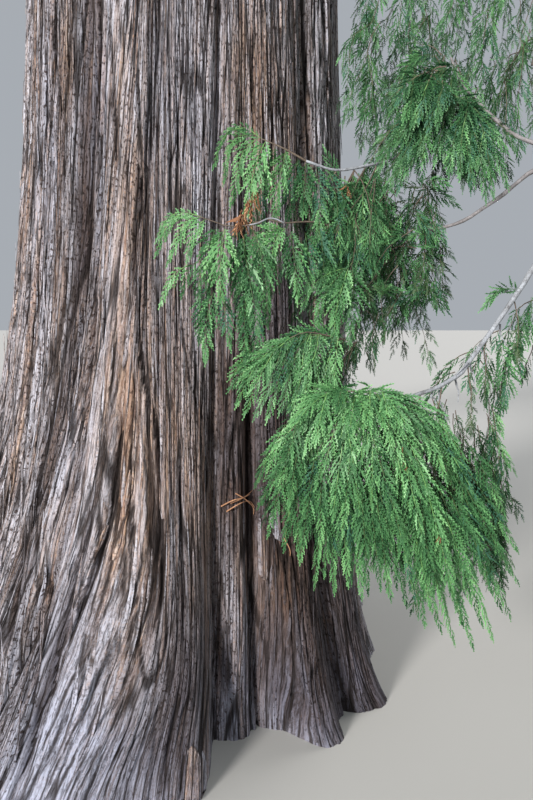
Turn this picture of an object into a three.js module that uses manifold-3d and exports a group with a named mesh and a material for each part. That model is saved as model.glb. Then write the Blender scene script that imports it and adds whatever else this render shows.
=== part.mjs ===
import * as THREE from "three";
import { mergeVertices } from "three/addons/utils/BufferGeometryUtils.js";
import Module from "manifold-3d";

// Western red cedar, whole tree. Millimetres, +Z up, origin on the flat cut at ground level
// under the middle of the trunk. The side with the low hanging boughs is +X, the open side
// of the trunk faces -Y.

const wasm = await Module();
wasm.setup();

// ---------------------------------------------------------------- driving sizes
const TREE_H = 28000;        // ground to the top of the foliage
const TRUNK_TIP = 27750;     // the stem itself ends just under that
const STEM_R0 = 690;         // radius the straight taper would have at the ground
const FLARE = 60;            // even swelling at the foot
const FLARE_H = 500;
const CLEAR = 20;            // gap left between neighbouring solids

// Root buttresses: angle, reach beyond the stem, half width in degrees and sharpness of the
// slope on either side, height scale
const BUTTRESSES = [
  [262, 430, 11, 2.4, 17.3, 10, 430], [240, 640, 15, 2.4, 15, 2.4, 560], [208, 820, 17, 2.4, 17, 2.4, 600],
  [307.5, 190, 4.9, 5, 8, 2.4, 300], [331, 150, 12, 2.4, 12, 2.4, 300], [14, 90, 12, 2.4, 12, 2.4, 300],
  [52, 520, 16, 2.4, 16, 2.4, 560], [98, 420, 14, 2.4, 14, 2.4, 500], [138, 560, 16, 2.4, 16, 2.4, 600],
  [174, 400, 12, 2.4, 12, 2.4, 520],
];
// Flutes that run up the stem: angle at the foot, angle at 2.6 m, depth, half width, height scale
const FLUTES = [
  [241, 246, 95, 5.0, 4200], [269, 265.5, 42, 3.6, 3000], [281.5, 286.5, 60, 2.8, 2600],
  [296, 295, 150, 3.4, 1300], [322, 319, 60, 4.5, 4200], [222, 226, 45, 5.0, 2400],
  [188, 192, 70, 5.0, 3600], [155, 158, 60, 5.0, 4200], [118, 114, 75, 5.0, 3800],
  [75, 78, 60, 5.0, 4200], [30, 33, 70, 5.0, 3600], [348, 350, 60, 5.0, 2600],
];

const rad = (d) => (d * Math.PI) / 180;
const hash = (n) => {
  const s = Math.sin(n * 12.9898 + 4.1414) * 43758.5453;
  return s - Math.floor(s);
};
const turn = (a, b) => ((((a - b + 180) % 360) + 360) % 360) - 180;
const angGap = (a, b) => Math.abs(turn(a, b));

// Stem radius at an angle (degrees) and a height (mm)
function stemR(deg, z) {
  let r = STEM_R0 * Math.max(0, 1 - z / TREE_H) + FLARE * Math.exp(-z / FLARE_H);
  for (const [a, reach, w0, p0, w1, p1, h] of BUTTRESSES) {
    const d = turn(deg, a);
    const e = Math.min(3, Math.max(-d, 0) / w0) ** p0 + Math.min(3, Math.max(d, 0) / w1) ** p1;
    r += reach * Math.exp(-z / h) * Math.exp(-e);
  }
  for (const [a0, a1, depth, w, h] of FLUTES) {
    const a = a0 + (a1 - a0) * Math.min(1, z / 2600);
    const d = angGap(deg, a) / w;
    if (d < 4) r -= depth * Math.exp(-z / h) * Math.exp(-(d ** 1.5)) * Math.min(1, 0.45 + z / 1500);
  }
  return r;
}

// ---------------------------------------------------------------- solids from rings
// rings: closed loops of points, any counts, joined in order; the two ends are closed
function fromRings(rings, endA, endB) {
  const pos = [], idx = [], start = [];
  for (const ring of rings) {
    start.push(pos.length / 3);
    for (const p of ring) pos.push(p.x, p.y, p.z);
  }
  for (let k = 0; k + 1 < rings.length; k++) {
    const n = rings[k].length, m = rings[k + 1].length;
    let i = 0, j = 0;
    while (i < n || j < m) {
      const a = start[k] + (i % n), b = start[k + 1] + (j % m);
      if (j >= m || (i < n && (i + 1) * m <= (j + 1) * n)) {
        idx.push(a, start[k] + ((i + 1) % n), b);
        i++;
      } else {
        idx.push(a, start[k + 1] + ((j + 1) % m), b);
        j++;
      }
    }
  }
  const cap = (k, centre, flip) => {
    const c = pos.length / 3;
    pos.push(centre.x, centre.y, centre.z);
    const n = rings[k].length;
    for (let i = 0; i < n; i++) {
      const a = start[k] + i, b = start[k] + ((i + 1) % n);
      if (flip) idx.push(c, b, a);
      else idx.push(c, a, b);
    }
  };
  cap(0, endA, true);
  cap(rings.length - 1, endB, false);
  let solid = new wasm.Manifold(new wasm.Mesh({
    numProp: 3, vertProperties: new Float32Array(pos), triVerts: new Uint32Array(idx),
  }));
  if (solid.volume() < 0) throw new Error("solid is inside out");
  return solid;
}

// The stem as stacked rings, finer at the fluted foot
function stemSolid(grow) {
  const rings = [];
  const levels = [];
  const add = (z, n) => levels.push([z, n]);
  const N = 72;
  for (const z of [0, 180, 400, 700, 1100, 1700, 3000]) add(z, N);
  for (const z of [4200, 5800, 8000]) add(z, N / 3);
  for (const z of [11000, 14500, 18500, 23000, 26500, TRUNK_TIP - 40]) add(z, 12);
  for (const [z, n] of levels) {
    const ring = [];
    for (let i = 0; i < n; i++) {
      const deg = (360 * i) / n;
      const r = stemR(deg, z) + grow;
      ring.push(new THREE.Vector3(r * Math.cos(rad(deg)), r * Math.sin(rad(deg)), z));
    }
    rings.push(ring);
  }
  if (grow > 0) rings[0] = rings[0].map((p) => new THREE.Vector3(p.x, p.y, -50));
  const foot = new THREE.Vector3(0, 0, grow > 0 ? -50 : 0);
  return fromRings(rings, foot, new THREE.Vector3(0, 0, TRUNK_TIP + grow));
}

// A limb: a round, tapering tube along a smooth curve through a few stations
function limbSolid(stations, r0, r1, sides = 7, steps = 7) {
  const curve = new THREE.CatmullRomCurve3(stations.map((p) => new THREE.Vector3(...p)), false, "centripetal");
  const frames = curve.computeFrenetFrames(steps, false);
  const rings = [];
  for (let k = 0; k <= steps; k++) {
    const t = k / steps;
    const c = curve.getPointAt(t);
    const r = r0 + (r1 - r0) * t ** 0.85;
    const ring = [];
    for (let i = 0; i < sides; i++) {
      const a = (2 * Math.PI * i) / sides;
      ring.push(c.clone()
        .addScaledVector(frames.normals[k], r * Math.cos(a))
        .addScaledVector(frames.binormals[k], r * Math.sin(a)));
    }
    rings.push(ring);
  }
  return fromRings(rings, curve.getPointAt(0), curve.getPointAt(1));
}

// A crown mass: one wedge of the crown between two cone-shaped shelves, with an uneven skin.
// It is worked out in polar terms: angle, distance from the stem and height.
function crownMass(m, grow = 0) {
  const SIDES = 8, RINGS = 5;
  const half = m.halfAngle;
  const rings = [];
  for (let k = 0; k < RINGS; k++) {
    const t = k / (RINGS - 1);
    const swell = Math.pow(Math.sin(Math.PI * (0.22 + 0.66 * t)), 0.6);   // full inside, thinner outside
    const ring = [];
    for (let i = 0; i < SIDES; i++) {
      const a = (2 * Math.PI * (i + 0.5)) / SIDES;
      const su = Math.sign(Math.cos(a)) * Math.abs(Math.cos(a)) ** 0.6;
      const sv = Math.sign(Math.sin(a)) * Math.abs(Math.sin(a)) ** 0.75;
      const lump = 1 - 0.22 * hash(m.seed * 31 + k * 7.3 + i * 1.7);
      const rough = k === 0 ? 1 : lump;
      const reach = m.rOut * (1 - 0.16 * su * su) * (0.9 + 0.1 * rough);
      const rho = m.rIn + (reach - m.rIn) * t + grow * (2 * t - 1);
      // the arc's inner edge keeps clear of the neighbours on both sides
      const edge = rad(half) - (m.gap / 2 - grow) / Math.max(rho, 300);
      const ang = rad(m.angle) + su * edge * (k === 0 ? 1 : 0.86 + 0.14 * rough);
      // convex shoulders above, a weeping hem below
      const top = m.zTop - m.slopeTop * rho * (0.75 + 0.25 * t) + 0.05 * m.rOut * Math.sin(Math.PI * t);
      const bot = m.zBot - m.slopeBot * rho - m.weep * t * t * (1 - 0.35 * su * su);
      const mid = (top + bot) / 2, h = ((top - bot) / 2) * swell * rough + grow;
      ring.push(new THREE.Vector3(rho * Math.cos(ang), rho * Math.sin(ang), mid + sv * h));
    }
    rings.push(ring);
  }
  const centre = (ring) => ring.reduce((s, p) => s.add(p), new THREE.Vector3()).divideScalar(ring.length);
  // the outer end is rounded out to the mass's full reach
  const far = centre(rings[RINGS - 1]);
  const reach = m.rOut + grow;
  const tip = new THREE.Vector3(reach * Math.cos(rad(m.angle)), reach * Math.sin(rad(m.angle)), far.z);
  return fromRings(rings, centre(rings[0]), tip);
}

// A hanging mass: an uneven, flattened body along a drooping spine
function hangMass(m, grow = 0) {
  const SIDES = 9, RINGS = 6;
  const curve = new THREE.CatmullRomCurve3(m.spine.map((p) => new THREE.Vector3(...p)), false, "centripetal");
  const across = new THREE.Vector3(...m.across).normalize();
  const rings = [];
  for (let k = 0; k < RINGS; k++) {
    const t = k / (RINGS - 1);
    const dir = curve.getTangentAt(t);
    const c = curve.getPointAt(t).addScaledVector(dir, grow * (2 * t - 1));
    const u = across.clone().addScaledVector(dir, -across.dot(dir)).normalize();
    const v = dir.clone().cross(u);
    const w = m.width * Math.pow(Math.sin(Math.PI * (0.1 + 0.8 * Math.pow(t, m.skew ?? 0.8))), 0.7);
    const ring = [];
    for (let i = 0; i < SIDES; i++) {
      const a = (2 * Math.PI * i) / SIDES;
      const lump = 1 - 0.25 * hash(m.seed * 17 + k * 5.1 + i * 2.3);
      ring.push(c.clone()
        .addScaledVector(u, (w * lump + grow) * Math.cos(a))
        .addScaledVector(v, (w * m.flat * lump + grow) * Math.sin(a)));
    }
    rings.push(ring);
  }
  const end = (t) => curve.getPointAt(t).addScaledVector(curve.getTangentAt(t), 1.5 * grow * (2 * t - 1));
  return fromRings(rings, end(0), end(1));
}

// ---------------------------------------------------------------- the crown's plan
// Shelves of foliage from the lowest to the leader: foot and head height at the stem,
// number of masses round it, reach, angle of the first mass, droop of foot and head, weeping hem.
const SHELVES = [
  { z0: 4700, z1: 8900, n: 7, reach: 4650, turn: 20, dropIn: 0.16, dropOut: 0.52, weep: 900 },
  { z0: 7300, z1: 12700, n: 6, reach: 4400, turn: 5, dropIn: 0.16, dropOut: 0.72, weep: 1000 },
  { z0: 10900, z1: 16300, n: 5, reach: 3800, turn: 40, dropIn: 0.22, dropOut: 0.86, weep: 1000 },
  { z0: 14500, z1: 19900, n: 4, reach: 3000, turn: 12, dropIn: 0.30, dropOut: 1.05, weep: 950 },
  { z0: 18200, z1: 23200, n: 3, reach: 2250, turn: 50, dropIn: 0.40, dropOut: 1.35, weep: 800 },
  { z0: 21700, z1: 26000, n: 3, reach: 1450, turn: 110, dropIn: 0.60, dropOut: 1.8, weep: 500 },
  { z0: 24800, z1: 28800, n: 2, reach: 760, turn: 30, dropIn: 1.2, dropOut: 3.6, weep: 200 },
];

const crown = [];
SHELVES.forEach((s, level) => {
  for (let i = 0; i < s.n; i++) {
    const seed = level * 10 + i;
    const angle = s.turn + (360 * i) / s.n;
    // neighbours sit a little higher or lower than one another, and the skirt hangs lower
    // away from the open side
    const lift = (level < 6 ? 520 : 60) * (hash(seed + 0.3) - 0.5)
      + (level === 0 ? 500 * Math.cos(rad(angle - 262)) : 0);
    crown.push({
      name: `foliage_shelf${level + 1}_${i + 1}`,
      seed, level, index: i, angle,
      halfAngle: 180 / s.n,
      gap: 60,
      rIn: level === 0 ? 1150 : stemR(0, s.z0) + 40,
      rOut: s.reach * (0.84 + 0.16 * hash(seed + 0.2)),
      zBot: s.z0 + lift, zTop: s.z1 + lift * 0.5,
      slopeBot: s.dropIn, slopeTop: s.dropOut, weep: s.weep * (0.7 + 0.6 * hash(seed + 0.6)),
    });
  }
});

// Low hanging masses on the right: spine stations, direction across, half width, flatness
const HANG = [
  { name: "foliage_low_plume", spine: [[590, -1360, 1270], [600, -1420, 1140], [610, -1460, 990], [640, -1450, 800]], across: [1, 0.15, 0], width: 225, flat: 0.34, seed: 1 },
  { name: "foliage_low_plume_tail", spine: [[745, -1350, 1190], [810, -1400, 1040], [870, -1410, 870], [915, -1400, 660]], across: [1, 0.2, 0], width: 135, flat: 0.5, seed: 2 },
  { name: "foliage_low_fan", spine: [[575, -1095, 1400], [478, -1150, 1400], [379, -1190, 1345], [335, -1220, 1240]], across: [1, -0.2, 0.6], width: 100, flat: 0.45, seed: 3 },
  { name: "foliage_low_crest", spine: [[400, -1080, 1965], [306, -1115, 1985], [262, -1125, 1900], [256, -1125, 1790]], across: [1, 0, 0.4], width: 78, flat: 0.5, seed: 12 },
  { name: "foliage_low_left", spine: [[330, -1150, 1740], [262, -1175, 1670], [235, -1190, 1560], [228, -1195, 1410]], across: [1, -0.2, 0.1], width: 95, flat: 0.5, seed: 4 },
  { name: "foliage_low_tip", spine: [[175, -1165, 1755], [115, -1185, 1748], [65, -1190, 1705], [50, -1195, 1560]], across: [1, 0, 0.4], width: 62, flat: 0.5, seed: 13 },
  { name: "foliage_low_centre", spine: [[483, -1020, 1915], [480, -1050, 1785], [500, -1090, 1620], [535, -1100, 1450]], across: [1, -0.2, 0.1], width: 130, flat: 0.5, seed: 5 },
  { name: "foliage_low_dark", spine: [[705, -880, 1950], [735, -820, 1815], [705, -830, 1665], [660, -880, 1490]], across: [1, 0.1, 0], width: 165, flat: 0.6, seed: 6 },
  { name: "foliage_low_upper", spine: [[947, -640, 2690], [890, -790, 2380], [820, -900, 2120], [745, -950, 1910]], across: [1, 0.2, 0], width: 200, flat: 0.6, seed: 7 },
  { name: "foliage_low_edge", spine: [[1145, -530, 2790], [1100, -690, 2460], [1040, -850, 2130], [995, -910, 1895]], across: [1, 0.4, 0], width: 170, flat: 0.6, seed: 8 },
  { name: "foliage_low_skirt", spine: [[800, -990, 1215], [844, -1010, 1144], [881, -1040, 1050], [916, -1070, 930]], across: [1, 0.2, 0], width: 95, flat: 0.7, seed: 9 },
  { name: "foliage_low_rim", spine: [[1124, -1000, 1545], [1075, -1005, 1450], [1045, -1020, 1340], [1030, -1030, 1235]], across: [1, 0.2, 0], width: 62, flat: 0.6, seed: 14 },
  { name: "foliage_low_outer", spine: [[1800, -1050, 2150], [2200, -1250, 1900], [2500, -1400, 1500], [2600, -1500, 1000]], across: [-0.4, 1, 0], width: 430, flat: 0.7, seed: 10 },
  { name: "foliage_low_rear", spine: [[2100, -500, 3300], [2600, -450, 2900], [3000, -450, 2400], [3150, -480, 1800]], across: [0, 1, 0], width: 480, flat: 0.7, seed: 11 },
];

// ---------------------------------------------------------------- limbs
// Where a bough at this angle leaves the stem, a little way inside the bark
const onStem = (deg, z, inset = 60) => {
  const r = stemR(deg, z) - inset;
  return [r * Math.cos(rad(deg)), r * Math.sin(rad(deg)), z];
};
// A bough of the open lower crown: out, dipping, then level where it enters its mass
const crownBough = (m, z, length, dip, twist) => {
  const at = (d, r, h) => [r * Math.cos(rad(d)), r * Math.sin(rad(d)), h];
  const a = m.angle;
  return [onStem(a, z), at(a + twist * 0.3, 800, z + 40), at(a + twist * 0.7, 1000, z - dip * 0.3), at(a + twist, length, z - dip)];
};

const LIMBS = [
  { name: "bough_low_main", stations: [onStem(330, 3500), [760, -500, 3480], [1180, -760, 3200], [1480, -920, 2720], [1520, -960, 2350], [1640, -1000, 2200], [1900, -1100, 2080]], r0: 62, r1: 26, steps: 10 },
  { name: "bough_low_a", stations: [[1560, -975, 2290], [1470, -930, 2110], [1374, -882, 2001], [1245, -893, 1999], [1161, -890, 2028], [1083, -887, 2068], [988, -858, 2169], [916, -816, 2307]], r0: 12, r1: 5, steps: 9 },
  { name: "bough_low_b", stations: [[1610, -990, 2230], [1480, -930, 2060], [1342, -886, 1958], [1248, -886, 1964], [1164, -888, 1942], [1070, -904, 1869], [951, -901, 1789], [837, -843, 1758]], r0: 11, r1: 5, steps: 9 },
  { name: "bough_low_c", stations: [[1665, -1008, 2185], [1540, -985, 2090], [1410, -960, 1960], [1235, -945, 1748], [1130, -1025, 1632], [1006, -1119, 1476], [907, -1189, 1363], [804, -1256, 1291], [690, -1318, 1266], [649, -1338, 1265]], r0: 14, r1: 6, steps: 11 },
  { name: "bough_low_d", stations: [[959, -844, 2206], [906, -767, 2177], [832, -754, 2091], [732, -864, 1987], [644, -968, 1946], [536, -1030, 1920], [445, -1069, 1939], [317, -1104, 1994]], r0: 7, r1: 4, steps: 9 },
  { name: "bough_low_upper", stations: [onStem(342, 3950), [1000, -380, 3760], [1250, -450, 3300], [1330, -500, 2850]], r0: 45, r1: 16 },
  { name: "bough_low_rear", stations: [onStem(352, 4300), [1100, -280, 4150], [1700, -430, 3700], [2250, -500, 3150]], r0: 58, r1: 24 },
];
crown.filter((m) => m.level === 0).forEach((m) => {
  const z = m.zBot + 1150 + 500 * hash(m.seed + 0.7);
  LIMBS.push({
    name: `bough_shelf${m.level + 1}_${m.index + 1}`,
    stations: crownBough(m, z, 2000, 350, 8 * (hash(m.seed + 0.9) - 0.5)),
    r0: 82, r1: 46, sides: 6, steps: 5,
  });
});

// ---------------------------------------------------------------- put together
const stem = stemSolid(0);
const stemGrown = stemSolid(1);
// the plain hollow that the crown's masses leave round the stem
const stemHollow = fromRings([3000, 9000, 15000, 21000, TRUNK_TIP].map((z) => {
  const r = (STEM_R0 * (1 - z / TREE_H) + CLEAR) / Math.cos(Math.PI / 9);
  return Array.from({ length: 9 }, (_, i) => new THREE.Vector3(r * Math.cos((2 * Math.PI * i) / 9), r * Math.sin((2 * Math.PI * i) / 9), z));
}), new THREE.Vector3(0, 0, 3000), new THREE.Vector3(0, 0, TRUNK_TIP + 10));

const masses = [];
for (const m of crown) masses.push({ m, make: crownMass });
for (const m of HANG) masses.push({ m, make: hangMass });
for (const e of masses) e.grown = e.make(e.m, CLEAR);
const bounds = (s) => s.boundingBox();
const meet = (a, b) => {
  const p = bounds(a), q = bounds(b);
  return [0, 1, 2].every((i) => p.min[i] < q.max[i] && q.min[i] < p.max[i]);
};
const largest = (s) => {
  const parts = s.decompose();
  let best = parts[0];
  for (const p of parts) if (p.volume() > best.volume()) best = p;
  return best;
};
masses.forEach((e, i) => {
  let s = e.make(e.m, 0);
  if (meet(s, stemHollow)) s = s.subtract(stemHollow);
  for (let j = 0; j < i; j++) if (meet(s, masses[j].grown)) s = s.subtract(masses[j].grown);
  s = s.simplify(10);
  // where two uneven skins still brush, the later one gives way on every side
  for (let j = 0; j < i; j++) {
    if (!meet(s, masses[j].solid) || s.intersect(masses[j].solid).isEmpty()) continue;
    for (const [x, y, z] of [[2, 0, 0], [-2, 0, 0], [0, 2, 0], [0, -2, 0], [0, 0, 2], [0, 0, -2]])
      s = s.subtract(masses[j].solid.translate([x, y, z]));
  }
  e.solid = largest(s);
});

const limbs = [];
for (const l of LIMBS) {
  let s = limbSolid(l.stations, l.r0, l.r1, l.sides ?? 7, l.steps ?? 7);
  s = s.subtract(stemGrown);
  for (const e of masses) if (meet(s, e.grown)) s = s.subtract(e.grown);
  // limbs that fork off one another keep a hair's gap
  for (const o of limbs) if (meet(s, o.grown)) s = s.subtract(o.grown);
  // a limb ends where it enters its first mass: keep the stretch next to its start
  const parts = s.decompose();
  const root = new THREE.Vector3(...l.stations[0]);
  let best = null, near = Infinity;
  for (const p of parts) {
    const b = p.boundingBox();
    const box = new THREE.Box3(new THREE.Vector3(...b.min), new THREE.Vector3(...b.max));
    const d = box.distanceToPoint(root);
    if (p.volume() > 2000 && d < near) { near = d; best = p; }
  }
  limbs.push({
    l, solid: best,
    grown: limbSolid(l.stations, l.r0 + 1, l.r1 + 1, l.sides ?? 7, l.steps ?? 7),
  });
}

// ---------------------------------------------------------------- scene graph
const tones = {
  bark: { color: 0x7d716d, roughness: 0.95, metalness: 0 },
  limb: { color: 0x8b8f88, roughness: 0.9, metalness: 0 },
  leaf: { color: 0x4f7a4c, roughness: 0.75, metalness: 0 },
  leafDark: { color: 0x3f6441, roughness: 0.75, metalness: 0 },
};
function addSolid(group, name, solid, tone) {
  const m = solid.getMesh();
  let g = new THREE.BufferGeometry();
  g.setAttribute("position", new THREE.BufferAttribute(Float32Array.from(m.vertProperties), 3));
  g.setIndex(new THREE.BufferAttribute(Uint32Array.from(m.triVerts), 1));
  g = mergeVertices(g, 1e-3);
  g = g.toNonIndexed();
  g.computeVertexNormals();
  const mesh = new THREE.Mesh(g, new THREE.MeshStandardMaterial(tones[tone]));
  mesh.name = name;
  group.add(mesh);
}

const group = new THREE.Group();
group.name = "cedar_tree";
addSolid(group, "trunk", stem, "bark");
for (const { l, solid } of limbs) if (solid) addSolid(group, l.name, solid, "limb");
for (const { m, solid } of masses) addSolid(group, m.name, solid, m.level === undefined || (m.seed % 2) ? "leaf" : "leafDark");

export default group;
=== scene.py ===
"""Western red cedar: bark relief, limbs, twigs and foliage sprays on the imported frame. Metres, +Z up."""
import math

import bpy
import numpy as np
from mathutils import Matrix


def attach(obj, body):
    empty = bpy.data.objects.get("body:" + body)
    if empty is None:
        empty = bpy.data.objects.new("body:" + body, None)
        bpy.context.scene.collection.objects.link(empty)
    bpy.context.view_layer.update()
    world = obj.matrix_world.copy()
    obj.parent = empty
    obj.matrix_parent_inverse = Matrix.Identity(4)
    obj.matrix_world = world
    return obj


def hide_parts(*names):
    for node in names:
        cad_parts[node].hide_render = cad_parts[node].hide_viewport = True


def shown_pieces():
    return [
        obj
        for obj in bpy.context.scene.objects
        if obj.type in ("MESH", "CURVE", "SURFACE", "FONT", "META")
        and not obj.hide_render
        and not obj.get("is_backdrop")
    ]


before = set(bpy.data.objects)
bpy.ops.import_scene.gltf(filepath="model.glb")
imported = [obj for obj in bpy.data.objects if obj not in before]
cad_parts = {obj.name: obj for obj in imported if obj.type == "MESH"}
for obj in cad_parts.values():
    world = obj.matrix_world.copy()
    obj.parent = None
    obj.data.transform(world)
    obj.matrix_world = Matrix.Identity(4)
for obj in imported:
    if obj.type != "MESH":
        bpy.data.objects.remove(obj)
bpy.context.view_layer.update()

RNG = np.random.default_rng(20)

# ------------------------------------------------------------------ the view
CAM = np.array([0.33, -3.6, 1.46])
PITCH = math.radians(5.0)
FOCAL_PX = 850.0
FWD = np.array([0.0, math.cos(PITCH), -math.sin(PITCH)])
UPV = np.array([0.0, math.sin(PITCH), math.cos(PITCH)])


def at(x, y, d):
    """World point d metres in front of the camera at a place in the 533 x 800 frame."""
    return CAM + d * FWD + np.array([(x - 266.5) / FOCAL_PX * d, 0, 0]) + (400 - y) / FOCAL_PX * d * UPV


def unit(v):
    v = np.asarray(v, float)
    n = np.linalg.norm(v, axis=-1, keepdims=True)
    return v / np.maximum(n, 1e-9)


# ------------------------------------------------------------------ noise
def _hash(ix, iy, seed):
    h = (ix.astype(np.int64) * 374761393 + iy.astype(np.int64) * 668265263 + seed * 1274126177) & 0xFFFFFFFF
    h = ((h ^ (h >> 13)) * 1274126177) & 0xFFFFFFFF
    h = ((h ^ (h >> 16)) * 2246822519) & 0xFFFFFFFF
    return ((h ^ (h >> 15)) & 0xFFFFFF) / float(0xFFFFFF)


def noise(x, y, nx, seed):
    """Smooth value noise, 0 to 1, that repeats after nx cells along x."""
    x0, y0 = np.floor(x), np.floor(y)
    fx, fy = x - x0, y - y0
    fx, fy = fx * fx * (3 - 2 * fx), fy * fy * (3 - 2 * fy)
    ax, bx = np.mod(x0, nx), np.mod(x0 + 1, nx)
    a, b = _hash(ax, y0, seed), _hash(bx, y0, seed)
    c, d = _hash(ax, y0 + 1, seed), _hash(bx, y0 + 1, seed)
    return (a * (1 - fx) + b * fx) * (1 - fy) + (c * (1 - fx) + d * fx) * fy


def cells(x, y, nx, seed):
    """Irregular cells: gap to the nearest border (0 on it), and a number 0 to 1 for each cell."""
    x0, y0 = np.floor(x), np.floor(y)
    f1 = np.full(x.shape, 9.0)
    f2 = np.full(x.shape, 9.0)
    cid = np.zeros(x.shape)
    for dx in (-1, 0, 1):
        for dy in (-1, 0, 1):
            cx, cy = x0 + dx, y0 + dy
            wx = np.mod(cx, nx)
            px = cx + 0.5 + 0.8 * (_hash(wx, cy, seed) - 0.5)
            py = cy + 0.5 + 0.9 * (_hash(wx, cy, seed + 11) - 0.5)
            d = np.hypot(px - x, py - y)
            near = d < f1
            f2 = np.where(near, f1, np.minimum(f2, d))
            cid = np.where(near, _hash(wx, cy, seed + 23), cid)
            f1 = np.where(near, d, f1)
    return f2 - f1, cid


def step(a, b, x):
    t = np.clip((x - a) / (b - a), 0, 1)
    return t * t * (3 - 2 * t)


# ------------------------------------------------------------------ the stem's form
TREE_H, STEM_R0, FLARE, FLARE_H = 28.0, 0.690, 0.060, 0.5
# angle, reach, half width and sharpness before it, half width and sharpness after it, height scale
BUTTRESSES = [
    (262, 430, 11, 2.4, 17.3, 10, 430), (240, 640, 15, 2.4, 15, 2.4, 560), (208, 820, 17, 2.4, 17, 2.4, 600),
    (307.5, 190, 4.9, 5, 8, 2.4, 300), (331, 150, 12, 2.4, 12, 2.4, 300), (14, 90, 12, 2.4, 12, 2.4, 300),
    (52, 520, 16, 2.4, 16, 2.4, 560), (98, 420, 14, 2.4, 14, 2.4, 500), (138, 560, 16, 2.4, 16, 2.4, 600),
    (174, 400, 12, 2.4, 12, 2.4, 520)]
FLUTES = [
    (241, 246, 95, 5.0, 4200), (269, 265.5, 42, 3.6, 3000), (281.5, 286.5, 60, 2.8, 2600),
    (296, 295, 150, 3.4, 1300), (322, 319, 60, 4.5, 4200), (222, 226, 45, 5.0, 2400),
    (188, 192, 70, 5.0, 3600), (155, 158, 60, 5.0, 4200), (118, 114, 75, 5.0, 3800),
    (75, 78, 60, 5.0, 4200), (30, 33, 70, 5.0, 3600), (348, 350, 60, 5.0, 2600)]


def turn(a, b):
    return np.mod(a - b + 180, 360) - 180


def gap(a, b):
    return np.abs(turn(a, b))


def stem_r(deg, z):
    """Stem radius at an angle in degrees and a height in metres, as the frame has it."""
    r = STEM_R0 * np.maximum(0, 1 - z / TREE_H) + FLARE * np.exp(-z / FLARE_H)
    for a, reach, w0, p0, w1, p1, h in BUTTRESSES:
        d = turn(deg, a)
        e = np.minimum(np.maximum(-d, 0) / w0, 3) ** p0 + np.minimum(np.maximum(d, 0) / w1, 3) ** p1
        r = r + reach / 1000 * np.exp(-z * 1000 / h) * np.exp(-e)
    for a0, a1, depth, w, h in FLUTES:
        a = a0 + (a1 - a0) * np.minimum(1, z / 2.6)
        d = np.minimum(gap(deg, a) / w, 4)
        r = r - depth / 1000 * np.exp(-z * 1000 / h) * np.exp(-d ** 1.5) * np.minimum(1, 0.45 + z / 1.5)
    return r


# The fibres don't run straight down: angle of each leading fibre at these heights,
# with how many degrees of bark pattern lie between it and the one before.
LINE_Z = [0, 0.1, 0.2, 0.35, 0.5, 0.75, 1.1, 1.5, 2.0, 2.6]
LINES = [
    (0, [170] * 10),
    (33, [203] * 10),
    (27, [232, 231.5, 230.5, 229, 228, 227, 227.5, 228.5, 229.8, 231]),
    (11, [243, 242.5, 241.8, 239.5, 237.5, 234.8, 237.6, 240.5, 242.8, 244.5]),
    (8.5, [246.4, 246.2, 245.6, 244.6, 243.8, 244.2, 245.6, 248.8, 253, 258.4]),
    (5, [249.6, 249.4, 249.1, 249.2, 250.4, 254.0, 255.8, 257.8, 260.2, 262.8]),
    (7, [260, 260.9, 263.6, 265.6, 267.2, 267.9, 266.8, 266.2, 266.0, 266.4]),
    (9.5, [270.0, 270.4, 272.0, 273.6, 273.6, 272.6, 272.2, 272, 272, 272.2]),
    (13.6, [280.2, 280.8, 281.4, 281.9, 282.1, 282.3, 282.6, 283.3, 284.6, 286.5]),
    (4.9, [286.2, 286.5, 286.8, 287.2, 287.4, 287.8, 288.2, 288.8, 289.6, 290.5]),
    (5.7, [292.8, 293.2, 293.8, 295.2, 296.0, 296.6, 296.4, 296, 295.7, 295.5]),
    (7, [300, 300.8, 301.7, 302.3, 302.9, 303, 303, 302.8, 302.6, 302.5]),
    (6.3, [304.8, 306, 307.3, 308.9, 309.4, 309.6, 309.6, 309.5, 309.4, 309.4]),
    (13.9, [321.5, 322.3, 323.5, 323.3, 322.5, 321.5, 320.8, 320.3, 320, 320]),
    (9, [327.5, 328.2, 329.5, 331, 331.7, 332, 332, 332, 332, 332]),
    (15, [345] * 10),
    (185, [530] * 10)]
AROUND = float(sum(w for w, _ in LINES))
PEELED = [(135, 152, 167, 235, 0.012), (92, 104, 300, 352, 0.006), (176, 190, 118, 160, 0.006)]
# the deepest furrows: fibre, lowest and highest height, half width in fibres, strength
CLEFTS = [(60.0, -1, 2.9, 0.55, 0.55), (71.0, -1, 2.9, 0.75, 0.8), (79.5, -1, 1.6, 0.45, 0.75), (84.5, -1, 1.9, 0.6, 0.9),
          (91.5, -1, 2.2, 0.50, 0.8), (96.4, -1, 1.4, 0.35, 0.5), (101.0, -1, 1.5, 0.5, 0.75), (107.6, 0.2, 2.9, 0.35, 0.5),
          (114.6, -1, 2.9, 0.9, 1.0), (125.2, -1, 1.6, 1.0, 1.1), (88.0, 0.5, 2.9, 0.3, 0.5), (66.0, -1, 1.8, 0.35, 0.5),
          (75.4, -1, 1.2, 0.35, 0.55), (52.0, -1, 2.4, 0.45, 0.6), (152.4, -1, 2.4, 0.8, 0.9), (136.0, -1, 0.9, 0.3, 0.45)]
for _i in range(26):
    _h = [float(v) for v in _hash(np.array([_i] * 4), np.arange(4), 77)]
    CLEFTS.append((57.0 + 2.45 * _i + 0.9 * _h[0], -1, 0.25 + 0.75 * _h[1], 0.16 + 0.14 * _h[2], 0.30 + 0.40 * _h[3]))
_T = np.arange(0, AROUND, AROUND / 720)
_Z = np.arange(0, 2.6001, 0.05)


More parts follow.
